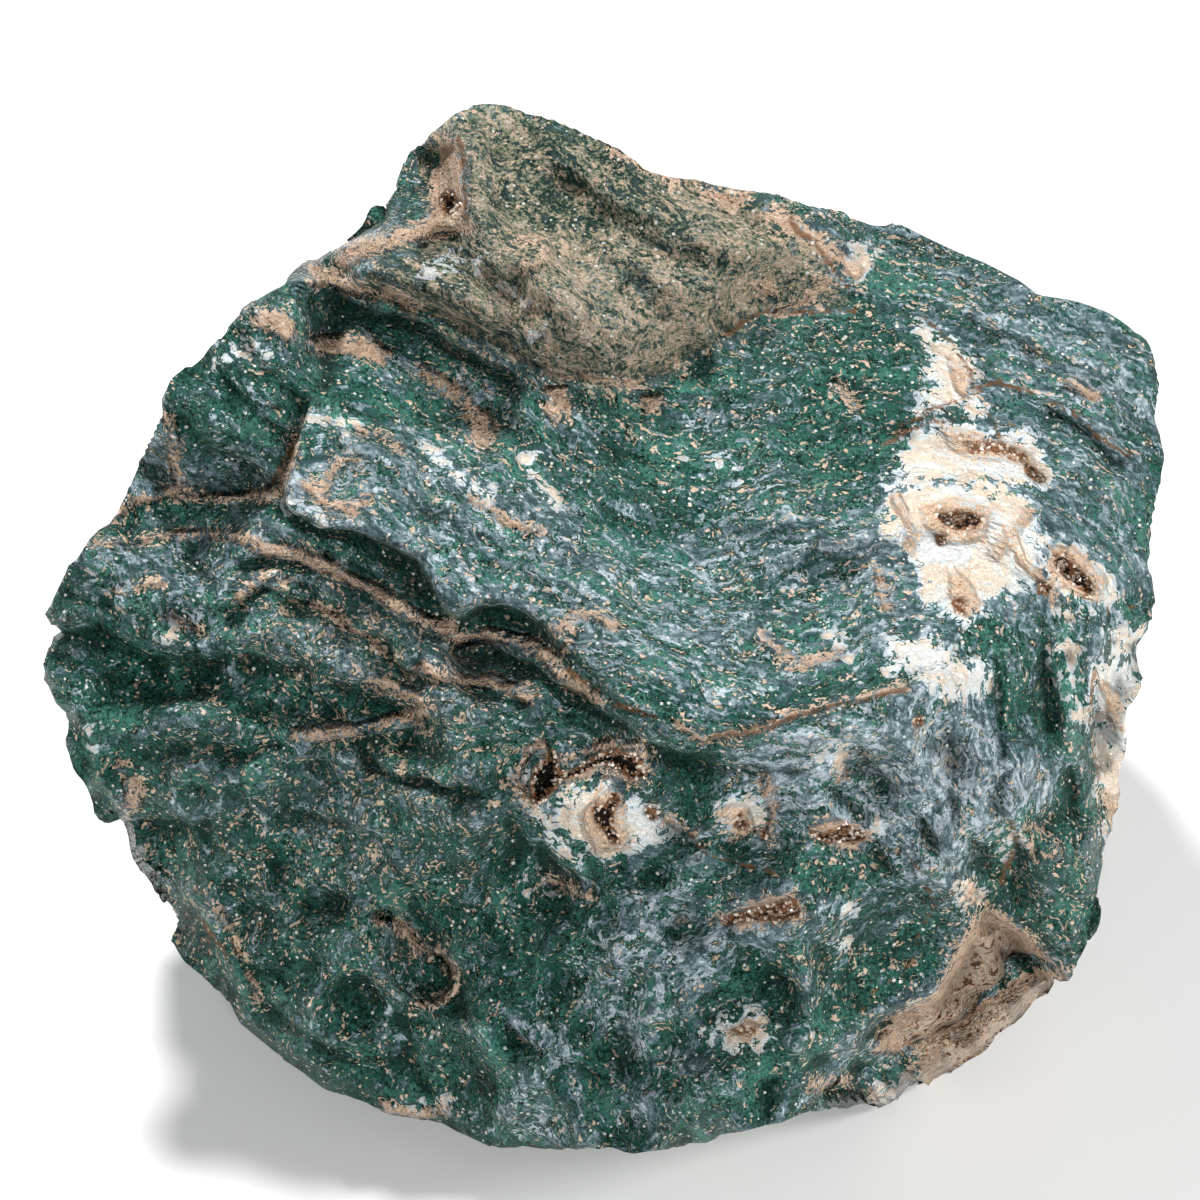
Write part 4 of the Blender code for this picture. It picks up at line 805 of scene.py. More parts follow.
def crossing(directions, tables):  # where the ray from the centre leaves the stone, found by halving
    start = np.array(stoneMesh["centre"])
    near = np.zeros(len(directions))
    far = np.full(len(directions), stoneMesh["longestRay"])
    for _ in range(stoneMesh["halvings"]):
        middle = (near + far) / 2
        within = outside(start + directions * middle[:, None], tables) < 0
        near = np.where(within, middle, near)
        far = np.where(within, far, middle)
    return (near + far) / 2


def cubeGrid():  # six square grids of two parameters, joined along their shared edges into one closed surface
    n = stoneMesh["sideCuts"]
    s, t = np.meshgrid(np.arange(n + 1), np.arange(n + 1), indexing="ij")
    corners, quads = [], []
    for axis in range(3):
        for far in (0, n):
            side = np.empty(s.shape + (3,), int)
            side[..., axis] = far
            side[..., (axis + 1) % 3] = s
            side[..., (axis + 2) % 3] = t
            first = sum(len(c) for c in corners)
            index = first + np.arange(s.size).reshape(s.shape)
            quad = np.stack([index[:-1, :-1], index[1:, :-1], index[1:, 1:], index[:-1, 1:]], axis=-1).reshape(-1, 4)
            corners.append(side.reshape(-1, 3))
            quads.append(quad if far else quad[:, ::-1])
    places, shared = np.unique(np.concatenate(corners), axis=0, return_inverse=True)
    return places * 2.0 / n - 1, shared.reshape(-1)[np.concatenate(quads)]


def rayDirections(cubePoints):  # directions evened out over the sphere by the tangent, and crowded toward the viewer
    rounded = np.tan(cubePoints * math.pi / 4)
    rounded /= np.linalg.norm(rounded, axis=1, keepdims=True)
    rounded[:, 2] += stoneMesh["crowding"]
    return rounded / np.linalg.norm(rounded, axis=1, keepdims=True)


def outwardAt(points, tables):  # the direction in which each point leaves the stone fastest, and how fast
    probe = stoneMesh["probe"]
    change = np.empty_like(points)
    for axis in range(3):
        step = np.zeros(3)
        step[axis] = probe
        change[:, axis] = outside(points + step, tables) - outside(points - step, tables)
    rate = np.linalg.norm(change, axis=1, keepdims=True) + 1e-9
    return change / rate, np.maximum(rate / (2 * probe), 0.5)


def linksOf(quads):  # each quad's four edges, walked one way round
    return np.concatenate([quads[:, [0, 1]], quads[:, [1, 2]], quads[:, [2, 3]], quads[:, [3, 0]]])


def settled(points, links, tables, pull):  # points spread evenly, closer where pull is high, and kept on the surface
    for turn in range(stoneMesh["settleRounds"]):
        strength = pull(points)
        weight = np.bincount(links[:, 0], strength[links[:, 1]], len(points))
        mean = np.stack([
            np.bincount(links[:, 0], strength[links[:, 1]] * points[links[:, 1], axis], len(points)) / weight
            for axis in range(3)
        ], axis=1)
        if turn % 3 == 0:
            outward, rate = outwardAt(points, tables)
        move = (mean - points) / 2
        points = points + move - outward * np.sum(move * outward, axis=1, keepdims=True)
        gap = outside(points, tables)[:, None] / rate
        points = points - outward * np.clip(gap, -stoneMesh["longestStep"], stoneMesh["longestStep"])
    outward, rate = outwardAt(points, tables)
    for _ in range(3):
        gap = outside(points, tables)[:, None] / rate
        points = points - outward * np.clip(gap, -stoneMesh["longestStep"], stoneMesh["longestStep"])
    return points


def outwardOf(points, quads):  # each point's outward direction: the sum of the cross products of its quads' diagonals
    across = np.cross(points[quads[:, 2]] - points[quads[:, 0]], points[quads[:, 3]] - points[quads[:, 1]])
    total = np.stack([
        np.bincount(quads.ravel(), np.repeat(across[:, axis], 4), len(points)) for axis in range(3)
    ], axis=1)
    return total / np.linalg.norm(total, axis=1, keepdims=True)


def stoneSurface():
    tables = reliefTables()
    print("relief worked out", flush=True)
    perV, perU = np.gradient(tables["sudden"], stoneMesh["tableStep"])
    busy = np.minimum(np.hypot(perU, perV), 2.0)

    def pull(points):
        u, v = asSeen(points)
        behind = readTable(tables["height"], u, v) - points[:, 2]
        atRim = 1 - ramp((readTable(tables["edge"], u, v) - 0.8) / 1.5)
        return 1 + 1.2 * readTable(busy, u, v) * (behind < 1.5) + stoneMesh["rimPull"] * atRim

    cubePoints, quads = cubeGrid()
    links = linksOf(quads)
    directions = rayDirections(cubePoints)
    points = np.array(stoneMesh["centre"]) + directions * crossing(directions, tables)[:, None]
    print("rays cast", flush=True)
    points = settled(points, links, tables, pull)
    print("mesh settled", flush=True)
    u, v = asSeen(points)
    behind = readTable(tables["height"], u, v) - points[:, 2]
    inner = readTable(tables["edge"], u, v) - farSide["outlineMargin"]
    perV, perU = np.gradient(tables["edge"], stoneMesh["tableStep"])
    move = np.where((inner < stoneMesh["rimSnap"]) & (behind < 1.2), inner, 0)
    for _ in range(stoneMesh["rimSmoothing"]):  # neighbours are drawn along, so that the rim gets no teeth
        move = (move + np.bincount(links[:, 0], move[links[:, 1]]) / np.bincount(links[:, 0])) / 2
    u, v = u - move * readTable(perU, u, v), v - move * readTable(perV, u, v)
    facing = 1 - ramp((behind - 0.6) / 1.2)
    toward = points[:, 2] - readTable(tables["fine"], u, v) * facing
    world = pictureToWorld(fromSeen(u, v, toward))
    hidden = ramp((behind - 1.5) / 5) * ramp((world[:, 2] - 0.2) / 2.5)
    bumps = scoops(world + 2.0 * noise(world, 6, 96)[:, None], 8.0, 0.5, 241) + 0.8 * scoops(world, 3.1, 0.5, 261)
    world += outwardOf(world, quads) * (brokenFaces["hidden"] * (bumps - bumps.mean()) * hidden)[:, None]
    world[:, 2] = np.where(world[:, 2] < stoneMesh["baseSnap"], 0.0, world[:, 2])
    world[:, :2] -= pictureView["centredBy"]
    flow = np.stack([readTable(tables["along"], u, v), readTable(tables["across"], u, v), toward], axis=1)
    return {"world": world, "quads": quads, "u": u, "v": v, "behind": behind, "flow": flow, "tables": tables}


def meshObject(name, points, faces, attributes=None):
    data = bpy.data.meshes.new(name)
    data.from_pydata(points * mm, [], faces.tolist())
    for key, values in (attributes or {}).items():
        kind, field = ("FLOAT_VECTOR", "vector") if values.ndim == 2 else ("FLOAT", "value")
        data.attributes.new(key, kind, "POINT").data.foreach_set(field, values.astype(np.float32).ravel())
    data.polygons.foreach_set("use_smooth", np.ones(len(data.polygons), bool))
    data.update()
    piece = bpy.data.objects.new(name, data)
    bpy.context.scene.collection.objects.link(piece)
    return piece


regions = {  # places in the picture with the share of green moss (0 to 1) and of tan flecks (0 to 1) round them
    "reach": 4.5,
    "places": [
        (0, 2, 0.53, 0.4), (10, 0, 0.55, 0.4), (-16, 8, 0.5, 0.45), (0, 12, 0.68, 0.5), (10, 14, 0.7, 0.5),
        (18, 16, 0.78, 0.4), (30, 18, 0.42, 0.4), (25, 24, 0.55, 0.6), (36, 10, 0.45, 0.3), (28, 5, 0.2, 0.5),
        (36, 17, 0.45, 0.3), (-24, 17, 0.6, 0.3), (-5, 26, 0.6, 0.75), (5, 24, 0.55, 0.8), (12, 22, 0.5, 0.8),
        (-10, 30, 0.6, 0.6), (0, 31, 0.8, 0.4), (0, 19, 0.35, 1.0), (-27, 13, 0.95, 0.1), (-28, 9, 0.2, 0.1),
        (-33, 1, 0.55, 0.3), (-34, -5, 0.85, 0.2), (-20, -3, 0.5, 0.9), (-28, -10, 0.7, 0.5), (-20, -14, 0.6, 0.9),
        (-12, -18, 0.64, 0.75), (-25, -20, 0.66, 0.7), (-16, -26, 0.66, 0.8), (-10, -31, 0.78, 0.3), (-20, -30, 0.92, 0.2),
        (-3, -24, 0.75, 0.3), (-5, -35, 0.6, 0.2), (5, -15, 0.6, 0.2), (5, -25, 0.55, 0.2), (3, -35, 0.6, 0.2),
        (10, -34, 0.72, 0.3), (0, -29, 0.62, 0.2), (15, -12, 0.52, 0.35), (22, -12, 0.55, 0.4), (22, -18, 0.56, 0.5),
        (12, -20, 0.55, 0.3), (18, -25, 0.6, 0.5), (27, -12, 0.38, 0.3), (33, -20, 0.92, 0.7), (26, -8, 0.5, 0.4),
        (20, -29, 0.6, 0.6), (32, -7, 0.6, 0.2),
    ],
    "hiddenSide": (0.62, 0.4),  # the same two shares for the back and the underside
}


def regionShares(u, v):  # each point takes the shares of the places round it, weighted by exp(-(distance / reach)^2)
    sums = np.zeros((3,) + u.shape)
    for pu, pv, moss, flecks in regions["places"]:
        weight = np.exp(-((u - pu) ** 2 + (v - pv) ** 2) / regions["reach"] ** 2) + 1e-9
        sums += weight * np.array([moss, flecks, 1.0])[:, None]
    return sums[0] / sums[2], sums[1] / sums[2]


def colourAttributes(surface):
    u, v, world = surface["u"], surface["v"], surface["world"]
    places = np.stack([u, v, np.zeros(u.shape)], axis=-1)
    wu, wv = u + 0.8 * layeredNoise(places, 2.4, 51, 2), v + 0.8 * layeredNoise(places, 2.4, 52, 2)
    moss, flecks = regionShares(u, v)
    deepMossAndShade = signedDistance(wu, wv, colourZones["deepMossAndShade"])
    under = -leftOf(u, v, mainForms["underRidge"])
    pale = signedDistance(wu, wv, colourZones["pale"])
    paleShare = ramp(pale / 1.6 + 0.4) * (0.4 + 0.6 * ramp((-6 - v) / 4))  # stronger on the faces below the lip
    moss = moss - 0.15 * paleShare
    # deep moss patches and the painted shade bands are pushed toward dark moss
    moss = moss + (0.78 - moss) * ramp(deepMossAndShade / 1.6 + 0.5)
    # painted shade: the underside band below the lower-left ridge is made almost all dark moss
    moss = moss + (0.95 - moss) * ramp(under + 0.5)
    shown = 1 - ramp((surface["behind"] - 1) / 6)  # colours seen in the photo run on a little behind the rim
    hiddenMoss, hiddenFlecks = regions["hiddenSide"]
    patchy = layeredNoise(world, 16, 101, 2)
    values = {
        "moss": (moss, hiddenMoss + 0.7 * patchy),
        "flecks": (flecks, np.full(u.shape, hiddenFlecks)),
        "pale": (paleShare, ramp(0.5 - 2.5 * patchy)),
        "white": (signedDistance(wu, wv, colourZones["white"]), 14 * (layeredNoise(world, 12, 111, 3) - 0.34)),
        "tan": (signedDistance(wu, wv, colourZones["tan"]), 10 * (layeredNoise(world, 9, 121, 3) - 0.4)),
        "rust": (signedDistance(wu, wv, colourZones["rust"]), -np.full(u.shape, 3.0)),
        "granular": (signedDistance(wu, wv, colourZones["granular"]), 8 * (layeredNoise(world, 14, 131, 2) - 0.3)),
        "cavity": (readTable(surface["tables"]["hollow"], u, v), np.zeros(u.shape)),
        "crease": (readTable(surface["tables"]["crease"], u, v), np.zeros(u.shape)),
    }
    mixed = {key: np.clip(back + (front - back) * shown, -3, 3) for key, (front, back) in values.items()}
    return {**mixed, "flow": surface["flow"]}


def newNode(tree, kind, **settings):
    node = tree.nodes.new("ShaderNode" + kind)
    for key, value in settings.items():
        setattr(node, key, value)
    return node


def feed(tree, socket, value):  # a socket takes either another socket's output or a plain value
    if isinstance(value, bpy.types.NodeSocket):
        tree.links.new(value, socket)
    else:
        socket.default_value = value


def maths(tree, operation, *values, clamp=False):
    node = newNode(tree, "Math", operation=operation, use_clamp=clamp)
    for socket, value in zip(node.inputs, values):
        feed(tree, socket, value)
    return node.outputs[0]


def stepBetween(tree, value, low, high):  # 0 up to low and 1 from high, with an S curve between
    node = newNode(tree, "MapRange", interpolation_type="SMOOTHSTEP")
    for key, given in (("Value", value), ("From Min", low), ("From Max", high)):
        feed(tree, node.inputs[key], given)
    return node.outputs["Result"]


def mixColours(tree, share, first, second):
    node = newNode(tree, "Mix", data_type="RGBA")
    for index, given in ((0, share), (6, first), (7, second)):
        feed(tree, node.inputs[index], given)
    return node.outputs[2]


def noiseNode(tree, place, scale, detail=2.0, roughness=0.5, output="Fac"):
    node = newNode(tree, "TexNoise")
    for key, given in (("Vector", place), ("Scale", scale), ("Detail", detail), ("Roughness", roughness)):
        feed(tree, node.inputs[key], given)
    return node.outputs[output]


def attributeNode(tree, name):
    return newNode(tree, "Attribute", attribute_name=name).outputs["Fac"]


def millimetrePlace(tree):  # the object's own coordinates in millimetres
    node = newNode(tree, "VectorMath", operation="SCALE")
    feed(tree, node.inputs[0], newNode(tree, "TexCoord").outputs["Object"])
    node.inputs["Scale"].default_value = 1000.0
    return node.outputs[0]


def bentPlace(tree, place, guide, scale, strength):  # the place shifted by a coloured noise, so that patterns swirl
    centred = newNode(tree, "VectorMath", operation="SUBTRACT")
    feed(tree, centred.inputs[0], noiseNode(tree, guide, scale, 1.0, output="Color"))
    centred.inputs[1].default_value = (0.5, 0.5, 0.5)
    bent = newNode(tree, "VectorMath", operation="MULTIPLY_ADD")
    feed(tree, bent.inputs[0], centred.outputs[0])
    bent.inputs[1].default_value = (strength,) * 3
    feed(tree, bent.inputs[2], place)
    return bent.outputs[0]


def grainDots(tree, place, scale, least, most, chance):  # one round dot in some of the cells of a jittered lattice
    cells = newNode(tree, "TexVoronoi", feature="F1")
    feed(tree, cells.inputs["Vector"], place)
    cells.inputs["Scale"].default_value = scale
    lot = newNode(tree, "SeparateColor")
    feed(tree, lot.inputs[0], cells.outputs["Color"])
    size = maths(tree, "MULTIPLY_ADD", lot.outputs[1], most - least, least)
    dot = stepBetween(tree, maths(tree, "SUBTRACT", size, cells.outputs["Distance"]), 0.0, 0.06)
    return maths(tree, "MULTIPLY", dot, maths(tree, "LESS_THAN", lot.outputs[0], chance))


agateLook = {  # colours are linear
    "blackGreen": (0.003, 0.012, 0.009, 1),
    "deepGreen": (0.005, 0.034, 0.024, 1),
    "midGreen": (0.015, 0.098, 0.072, 1),
    "brightGreen": (0.06, 0.225, 0.175, 1),
    "slate": (0.045, 0.09, 0.096, 1),
    "greyBlue": (0.12, 0.195, 0.215, 1),
    "paleBlue": (0.28, 0.37, 0.41, 1),
    "iceBlue": (0.56, 0.65, 0.71, 1),
    "cream": (0.70, 0.59, 0.47, 1),
    "white": (0.68, 0.70, 0.68, 1),
    "tan": (0.60, 0.385, 0.245, 1),
    "peach": (0.86, 0.63, 0.46, 1),
    "brown": (0.17, 0.075, 0.035, 1),
    "darkBrown": (0.04, 0.016, 0.009, 1),
    "rust": (0.22, 0.09, 0.025, 1),
    "olive": (0.14, 0.165, 0.09, 1),
    "sage": (0.33, 0.37, 0.26, 1),
    "sparkle": (0.95, 0.93, 0.86, 1),
    "gloss": 0.34,
}


def agateMaterial():
    look = agateLook
    material = bpy.data.materials.new("moss_agate_finish")
    material.use_nodes = True
    tree = material.node_tree
    shader = tree.nodes["Principled BSDF"]
    place = millimetrePlace(tree)
    stretched = newNode(tree, "VectorMath", operation="MULTIPLY")  # the flow, drawn out along the threads
    feed(tree, stretched.inputs[0], newNode(tree, "Attribute", attribute_name="flow").outputs["Vector"])
    stretched.inputs[1].default_value = (0.6, 1.0, 0.8)
    swirl = bentPlace(tree, stretched.outputs[0], place, 0.45, 2.2)
    wiggle = bentPlace(tree, swirl, place, 2.2, 0.75)
    at = {key: attributeNode(tree, key) for key in
          ("moss", "flecks", "pale", "white", "tan", "rust", "granular", "cavity", "crease")}
    strokes = noiseNode(tree, wiggle, 1.7, 3.0, 0.68)
    clouds = noiseNode(tree, swirl, 0.42, 3.0, 0.62)
    fine = noiseNode(tree, wiggle, 3.4, 2.0, 0.65)
    grit = noiseNode(tree, place, 3.2, 2.0, 0.7)
    blobs = noiseNode(tree, wiggle, 1.8, 1.0)
    broken = maths(tree, "SUBTRACT", strokes, 0.5)  # breaks up every colour's edge
    lobes = maths(tree, "SUBTRACT", noiseNode(tree, place, 0.9, 1.0), 0.5)

    # green moss over blue-grey chalcedony: strokes, with thin veins where a second noise crosses its middle value
    crossingValue = maths(tree, "SUBTRACT", noiseNode(tree, wiggle, 1.05, 1.0), 0.5)
    vein = stepBetween(tree, maths(tree, "ABSOLUTE", crossingValue), 0.055, 0.0)
    pattern = maths(tree, "MULTIPLY_ADD", clouds, 0.4, strokes)
    pattern = maths(tree, "MULTIPLY_ADD", fine, 0.3, pattern)
    pattern = maths(tree, "MULTIPLY_ADD", vein, 0.09, pattern)
    pattern = maths(tree, "MULTIPLY_ADD", at["crease"], 0.16, pattern)  # painted shade and painted highlight: creases are pushed toward the dark moss and convex edges toward the pale ground
    threshold = maths(tree, "MULTIPLY_ADD", at["moss"], -0.42, 1.08)
    mossShare = stepBetween(tree, maths(tree, "SUBTRACT", pattern, threshold), -0.022, 0.022)
    tone = maths(tree, "MULTIPLY_ADD", grit, 0.5, maths(tree, "MULTIPLY", fine, 0.5))
    depth = maths(tree, "MULTIPLY_ADD", broken, -0.45, tone)  # painted shade: the green is darkest where the strokes lie lowest in the bump
    green = mixColours(tree, stepBetween(tree, depth, 0.36, 0.44), look["blackGreen"], look["deepGreen"])
    green = mixColours(tree, stepBetween(tree, depth, 0.42, 0.52), green, look["midGreen"])
    lighter = maths(tree, "MULTIPLY_ADD", tone, 0.6, maths(tree, "MULTIPLY", clouds, 0.6))
    green = mixColours(tree, stepBetween(tree, lighter, 0.6, 0.72), green, look["brightGreen"])
    cloud = maths(tree, "MULTIPLY_ADD", at["pale"], 0.12, maths(tree, "MULTIPLY_ADD", clouds, 0.35, blobs))
    ground = mixColours(tree, stepBetween(tree, cloud, 0.54, 0.66), look["slate"], look["greyBlue"])
    ground = mixColours(tree, stepBetween(tree, cloud, 0.67, 0.78), ground, look["paleBlue"])
    ground = mixColours(tree, stepBetween(tree, cloud, 0.79, 0.89), ground, look["iceBlue"])
    colour = mixColours(tree, mossShare, ground, green)

    # the raised block's olive and tan grains
    granular = stepBetween(tree, maths(tree, "MULTIPLY_ADD", broken, 4.0, at["granular"]), -0.6, 0.9)
    mottle = maths(tree, "MULTIPLY_ADD", clouds, 0.25, maths(tree, "MULTIPLY", strokes, 0.45))
    mottle = maths(tree, "MULTIPLY_ADD", grit, 0.35, mottle)
    mottle = maths(tree, "MULTIPLY_ADD", maths(tree, "SUBTRACT", at["flecks"], 0.76), 0.1, mottle)
    grains = mixColours(tree, stepBetween(tree, mottle, 0.47, 0.495), look["deepGreen"], look["olive"])
    grains = mixColours(tree, stepBetween(tree, mottle, 0.495, 0.52), grains, look["sage"])
    grains = mixColours(tree, stepBetween(tree, mottle, 0.535, 0.555), grains, look["tan"])
    grains = mixColours(tree, stepBetween(tree, mottle, 0.56, 0.585), grains, look["cream"])
    colour = mixColours(tree, maths(tree, "MULTIPLY", granular, 0.8), colour, grains)

    # white and cream zones
    whiteEdge = maths(tree, "MULTIPLY_ADD", broken, 1.0, maths(tree, "MULTIPLY_ADD", lobes, 3.6, at["white"]))
    threaded = maths(tree, "MULTIPLY", vein, stepBetween(tree, whiteEdge, 1.3, 0.4))
    whiteShare = stepBetween(tree, maths(tree, "MULTIPLY_ADD", threaded, -1.6, whiteEdge), -0.03, 0.1)
    whites = mixColours(tree, stepBetween(tree, clouds, 0.42, 0.58), look["white"], look["cream"])
    whites = mixColours(tree, stepBetween(tree, whiteEdge, 0.7, 0.0), whites, look["iceBlue"])
    whites = mixColours(tree, maths(tree, "MULTIPLY", stepBetween(tree, tone, 0.58, 0.68), 0.6), whites, look["peach"])
    colour = mixColours(tree, whiteShare, colour, whites)

    # tan and peach: a thin film in strokes, dots in clouds, crust and streaks
    film = maths(tree, "MULTIPLY_ADD", at["flecks"], 0.09, noiseNode(tree, wiggle, 1.7, 3.0, 0.72))
    filmShare = stepBetween(tree, film, 0.66, 0.72)
    tans = mixColours(tree, stepBetween(tree, fine, 0.38, 0.58), look["tan"], look["peach"])
    colour = mixColours(tree, maths(tree, "MULTIPLY", filmShare, 0.75), colour, tans)
    crowd = maths(tree, "MULTIPLY", at["flecks"], stepBetween(tree, clouds, 0.3, 0.56))
    dots = grainDots(tree, wiggle, 2.7, 0.14, 0.46, crowd)
    colour = mixColours(tree, maths(tree, "MULTIPLY", dots, 0.85), colour, look["peach"])
    tanEdge = maths(tree, "MULTIPLY_ADD", broken, 2.8, at["tan"])
    tanShare = stepBetween(tree, maths(tree, "MULTIPLY_ADD", maths(tree, "SUBTRACT", fine, 0.5), 1.2, tanEdge), -0.02, 0.08)
    crustShare = stepBetween(tree, at["tan"], 0.7, 1.6)
    tans = mixColours(tree, maths(tree, "MULTIPLY", crustShare, 0.5), tans, look["peach"])
    tans = mixColours(tree, maths(tree, "MULTIPLY", crustShare, stepBetween(tree, blobs, 0.5, 0.58)), tans, look["cream"])
    tans = mixColours(tree, maths(tree, "MULTIPLY", crustShare, stepBetween(tree, blobs, 0.43, 0.37)), tans, look["brown"])
    tans = mixColours(tree, stepBetween(tree, tone, 0.42, 0.35), tans, look["brown"])
    colour = mixColours(tree, tanShare, colour, tans)
    rustShare = stepBetween(tree, maths(tree, "MULTIPLY_ADD", broken, 0.9, at["rust"]), -0.1, 0.1)
    colour = mixColours(tree, maths(tree, "MULTIPLY", rustShare, 0.8), colour, look["rust"])
    # the hollows' lining darkens with depth: tan and brown stain, and painted shade in near-black dark brown at the
    # bottom
    hollowEdge = maths(tree, "MULTIPLY_ADD", broken, 1.6, at["cavity"])
    colour = mixColours(tree, stepBetween(tree, hollowEdge, 0.2, 0.6), colour, look["tan"])
    colour = mixColours(tree, stepBetween(tree, hollowEdge, 0.6, 1.1), colour, look["brown"])
    colour = mixColours(tree, stepBetween(tree, hollowEdge, 1.2, 2.0), colour, look["darkBrown"])

    dry = maths(tree, "MAXIMUM", tanShare, maths(tree, "MULTIPLY", granular, 0.8))
    # painted shade: creases are darkened toward black green, less on the dry tan and granular places
    paintedCreaseShade = maths(tree, "MULTIPLY", stepBetween(tree, at["crease"], 0.06, 0.3), maths(tree, "MULTIPLY_ADD", dry, -0.35, 0.6))
    colour = mixColours(tree, paintedCreaseShade, colour, look["blackGreen"])

    # tiny near-white dots: white specks of the stone, painted as bright as glints
    sparkle = grainDots(tree, place, 1.9, 0.10, 0.3, 0.42)
    colour = mixColours(tree, maths(tree, "MULTIPLY", sparkle, 0.85), colour, look["sparkle"])
    feed(tree, shader.inputs["Base Color"], colour)

    # gloss and fine relief
    roughness = maths(tree, "MULTIPLY_ADD", dry, 0.25, 0.08)
    roughness = maths(tree, "MULTIPLY_ADD", tone, 0.22, roughness)
    feed(tree, shader.inputs["Roughness"], roughness)
    shader.inputs["Specular IOR Level"].default_value = look["gloss"]
    dryPlace = maths(tree, "MAXIMUM", stepBetween(tree, at["tan"], -0.3, 0.3), stepBetween(tree, at["granular"], -0.6, 0.9))
    dryLumps = maths(tree, "MULTIPLY", grit, maths(tree, "MULTIPLY_ADD", dryPlace, 1.3, 0.45))
    raised = maths(tree, "MULTIPLY_ADD", dryPlace, 3.4, -1.6)  # moss lies low, and dry grains stand up
    height = maths(tree, "MULTIPLY_ADD", strokes, raised, dryLumps)
    smoother = stepBetween(tree, at["white"], -0.3, 0.3)
    height = maths(tree, "MULTIPLY", height, maths(tree, "MULTIPLY_ADD", smoother, -0.5, 1.0))
    bump = newNode(tree, "Bump")
    bump.inputs["Strength"].default_value = 1.0
    bump.inputs["Distance"].default_value = 0.9 * mm
    feed(tree, bump.inputs["Height"], height)
    feed(tree, shader.inputs["Normal"], bump.outputs[0])
    return material


surface = stoneSurface()
stone = meshObject("moss_agate_stone", surface["world"], surface["quads"], colourAttributes(surface))
stone.data.materials.append(agateMaterial())
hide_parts("moss_agate")
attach(stone, "root")
print("stone made", len(stone.data.polygons) * 2, "triangles", flush=True)


quartzGrains = {
    "count": 1500,
    "radius": (0.07, 0.2),
    "lengths": (1.6, 3.2),  # length over radius
    "leastDepth": 0.3,  # how deep in its hollow a place that carries a grain may lie
    "mostDepth": 2.4,
    "lean": 0.6,
    "sunk": 0.45,
    "seed": 11,
    "cream": (0.80, 0.70, 0.58, 1),
    "amber": (0.20, 0.09, 0.04, 1),
}


def quartzPoint():  # a six-sided column that ends in a pyramid, one unit in radius and length, and its triangles
    turn = np.arange(6) * math.pi / 3
    ring = np.stack([np.cos(turn), np.sin(turn)], axis=1)
    foot, shoulder = np.column_stack([ring, np.zeros(6)]), np.column_stack([ring * 0.92, np.full(6, 0.6)])
    points = np.concatenate([foot, shoulder, [(0, 0, 0), (0, 0, 1)]])
    k, after = np.arange(6), (np.arange(6) + 1) % 6
    faces = [np.stack([k, after, after + 6], 1), np.stack([k, after + 6, k + 6], 1),
             np.stack([after, k, np.full(6, 12)], 1), np.stack([k + 6, after + 6, np.full(6, 13)], 1)]
    return points, np.concatenate(faces)


def grainsInHollows(tables):  # the column is set along the surface's outward direction, leaning a little, and half sunk
    look, draw = quartzGrains, np.random.default_rng(quartzGrains["seed"])
    rows, columns = np.nonzero((tables["hollow"] > look["leastDepth"]) & (tables["hollow"] < look["mostDepth"]))
    picked = draw.integers(0, len(rows), look["count"])
    u, v = tableGrid()
    u = u[rows, columns][picked] + draw.uniform(-0.06, 0.06, look["count"])
    v = v[rows, columns][picked] + draw.uniform(-0.06, 0.06, look["count"])
    surfaceHeight = tables["height"] - tables["fine"]
    perV, perU = np.gradient(surfaceHeight, stoneMesh["tableStep"])
    slopes = np.stack([-readTable(perU, u, v), -readTable(perV, u, v), np.ones(len(u))], axis=1)
    axis = slopes / np.linalg.norm(slopes, axis=1, keepdims=True) + look["lean"] * draw.uniform(-1, 1, slopes.shape)
    axis /= np.linalg.norm(axis, axis=1, keepdims=True)
    side = np.cross(axis, [0.3, 0.9, 0.2])
    side /= np.linalg.norm(side, axis=1, keepdims=True)
    frames = np.stack([side, np.cross(axis, side), axis], axis=1)
    radius = draw.uniform(*look["radius"], look["count"])
    length = radius * draw.uniform(*look["lengths"], look["count"])
    shape, triangles = quartzPoint()
    sizes = np.stack([radius, radius, length], axis=1)[:, None, :]
    start = fromSeen(u, v, readTable(surfaceHeight, u, v)) - axis * (look["sunk"] * length)[:, None]
    points = (shape[None] * sizes) @ frames + start[:, None, :]
    world = pictureToWorld(points.reshape(-1, 3))
    world[:, :2] -= pictureView["centredBy"]
    faces = (triangles[None] + np.arange(look["count"])[:, None, None] * len(shape)).reshape(-1, 3)
    return world, faces, np.repeat(draw.uniform(0, 1, look["count"]), len(shape))


def quartzMaterial():
    look = quartzGrains
    material = bpy.data.materials.new("quartz_grain_finish")
    material.use_nodes = True
    tree = material.node_tree
    shader = tree.nodes["Principled BSDF"]
    place = millimetrePlace(tree)
    share = maths(tree, "MULTIPLY_ADD", noiseNode(tree, place, 2.0), 0.5, attributeNode(tree, "shade"))
    feed(tree, shader.inputs["Base Color"], mixColours(tree, stepBetween(tree, share, 0.55, 1.3), look["amber"], look["cream"]))
    feed(tree, shader.inputs["Roughness"], maths(tree, "MULTIPLY_ADD", noiseNode(tree, place, 5.0), 0.3, 0.05))
    return material


world, faces, shade = grainsInHollows(surface["tables"])
grains = meshObject("quartz_grains", world, faces, {"shade": shade})
grains.data.polygons.foreach_set("use_smooth", np.zeros(len(faces), bool))
grains.data.materials.append(quartzMaterial())
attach(grains, "root")
print("quartz grains made", len(faces), "triangles", flush=True)


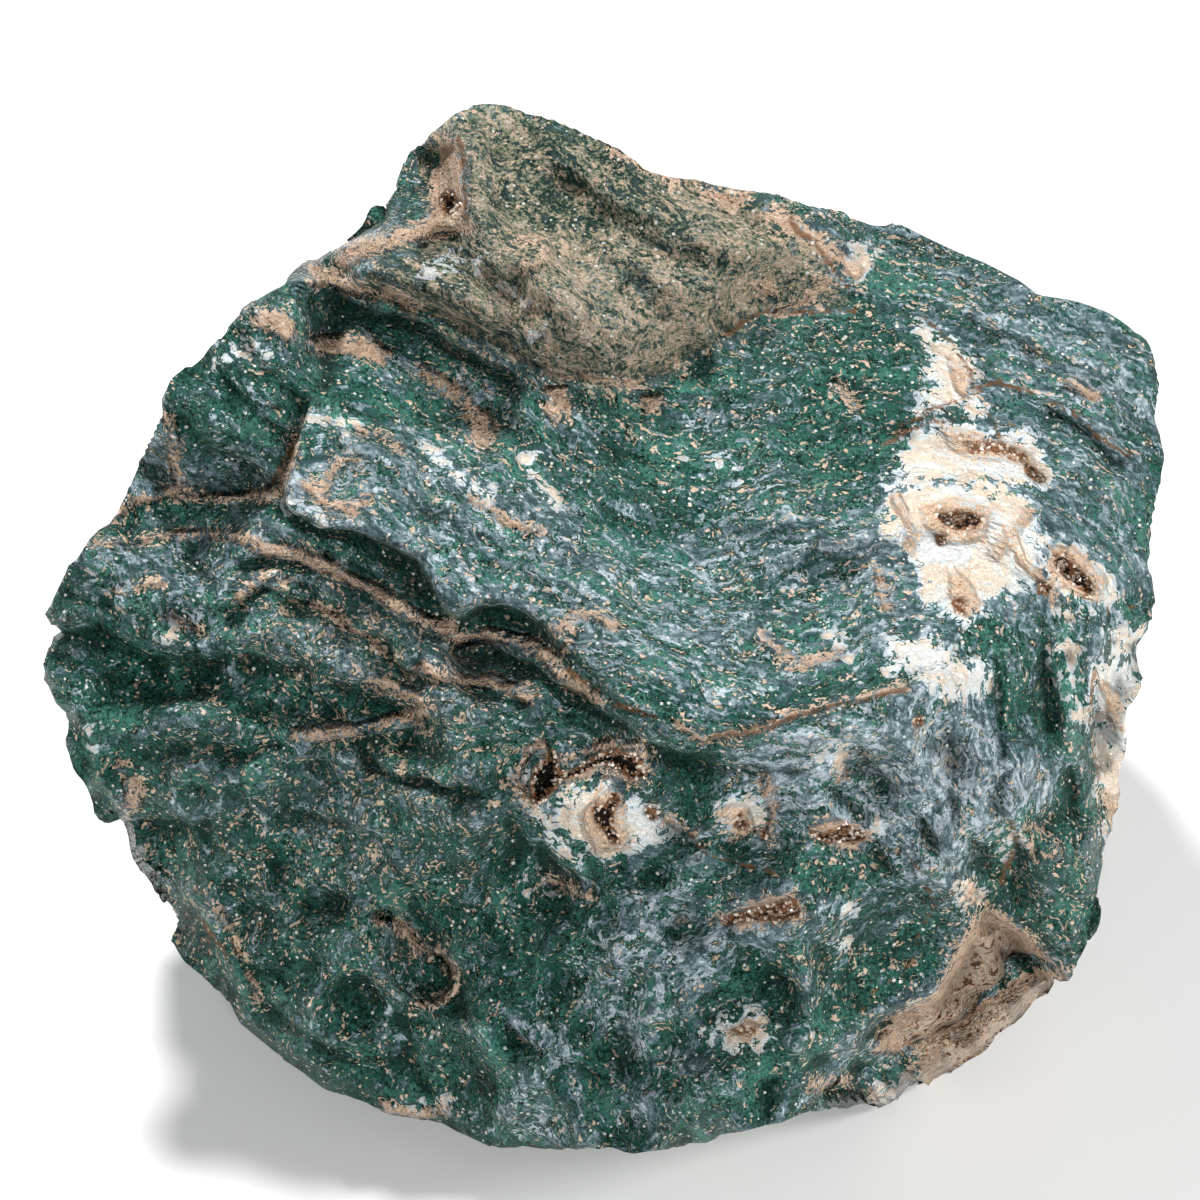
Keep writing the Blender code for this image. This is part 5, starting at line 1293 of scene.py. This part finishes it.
lightAndFloor = {
    "floorSize": 3000.0,
    "floorColour": (0.86, 0.86, 0.85, 1),
    "skyColour": (0.95, 0.97, 1.0, 1),
    "skyStrength": 0.2,
    "lamps": [  # name, place in mm, size in mm, watts
        ("key_light", (-110, 170, 390), 70, 2.25),
        ("front_light", (20, -400, 290), 100, 1.45),
        ("side_light", (390, -60, 190), 110, 1.2),
    ],
}


def floorAndLights():
    half = lightAndFloor["floorSize"] / 2
    corners = np.array([(-half, -half, 0), (half, -half, 0), (half, half, 0), (-half, half, 0)], float)
    floor = meshObject("floor", corners, np.array([(0, 1, 2, 3)]))
    material = bpy.data.materials.new("pale_floor")
    material.use_nodes = True
    shader = material.node_tree.nodes["Principled BSDF"]
    shader.inputs["Base Color"].default_value = lightAndFloor["floorColour"]
    shader.inputs["Roughness"].default_value = 0.9
    floor.data.materials.append(material)
    for name, place, size, watts in lightAndFloor["lamps"]:
        lamp = bpy.data.lights.new(name, "AREA")
        lamp.shape = "DISK"
        lamp.size = size * mm
        lamp.energy = watts
        holder = bpy.data.objects.new(name, lamp)
        holder.location = np.array(place) * mm
        aim = np.array([0, 0, 25.0]) - np.array(place)
        holder.rotation_euler = (
            math.atan2(math.hypot(aim[0], aim[1]), -aim[2]), 0, math.atan2(aim[1], aim[0]) - math.pi / 2)
        bpy.context.scene.collection.objects.link(holder)
    world = bpy.data.worlds.new("studio")
    world.use_nodes = True
    background = world.node_tree.nodes["Background"]
    background.inputs["Color"].default_value = lightAndFloor["skyColour"]
    background.inputs["Strength"].default_value = lightAndFloor["skyStrength"]
    bpy.context.scene.world = world


def photoCamera():
    lens = bpy.data.cameras.new("camera")
    lens.lens = pictureView["lens"]
    lens.sensor_width = pictureView["sensor"]
    lens.clip_start = 0.01
    holder = bpy.data.objects.new("camera", lens)
    tilt, distance = pictureView["elevation"], pictureView["distance"]
    x, y = -pictureView["centredBy"][0], -pictureView["centredBy"][1]
    holder.location = np.array([x, y - distance * math.cos(tilt), pictureView["centreHeight"] + distance * math.sin(tilt)]) * mm
    holder.rotation_euler = (math.pi / 2 - tilt, 0, 0)
    bpy.context.scene.collection.objects.link(holder)
    bpy.context.scene.camera = holder


floorAndLights()
photoCamera()
bpy.context.scene.view_settings.view_transform = "Standard"
print("camera, floor and lights made", flush=True)
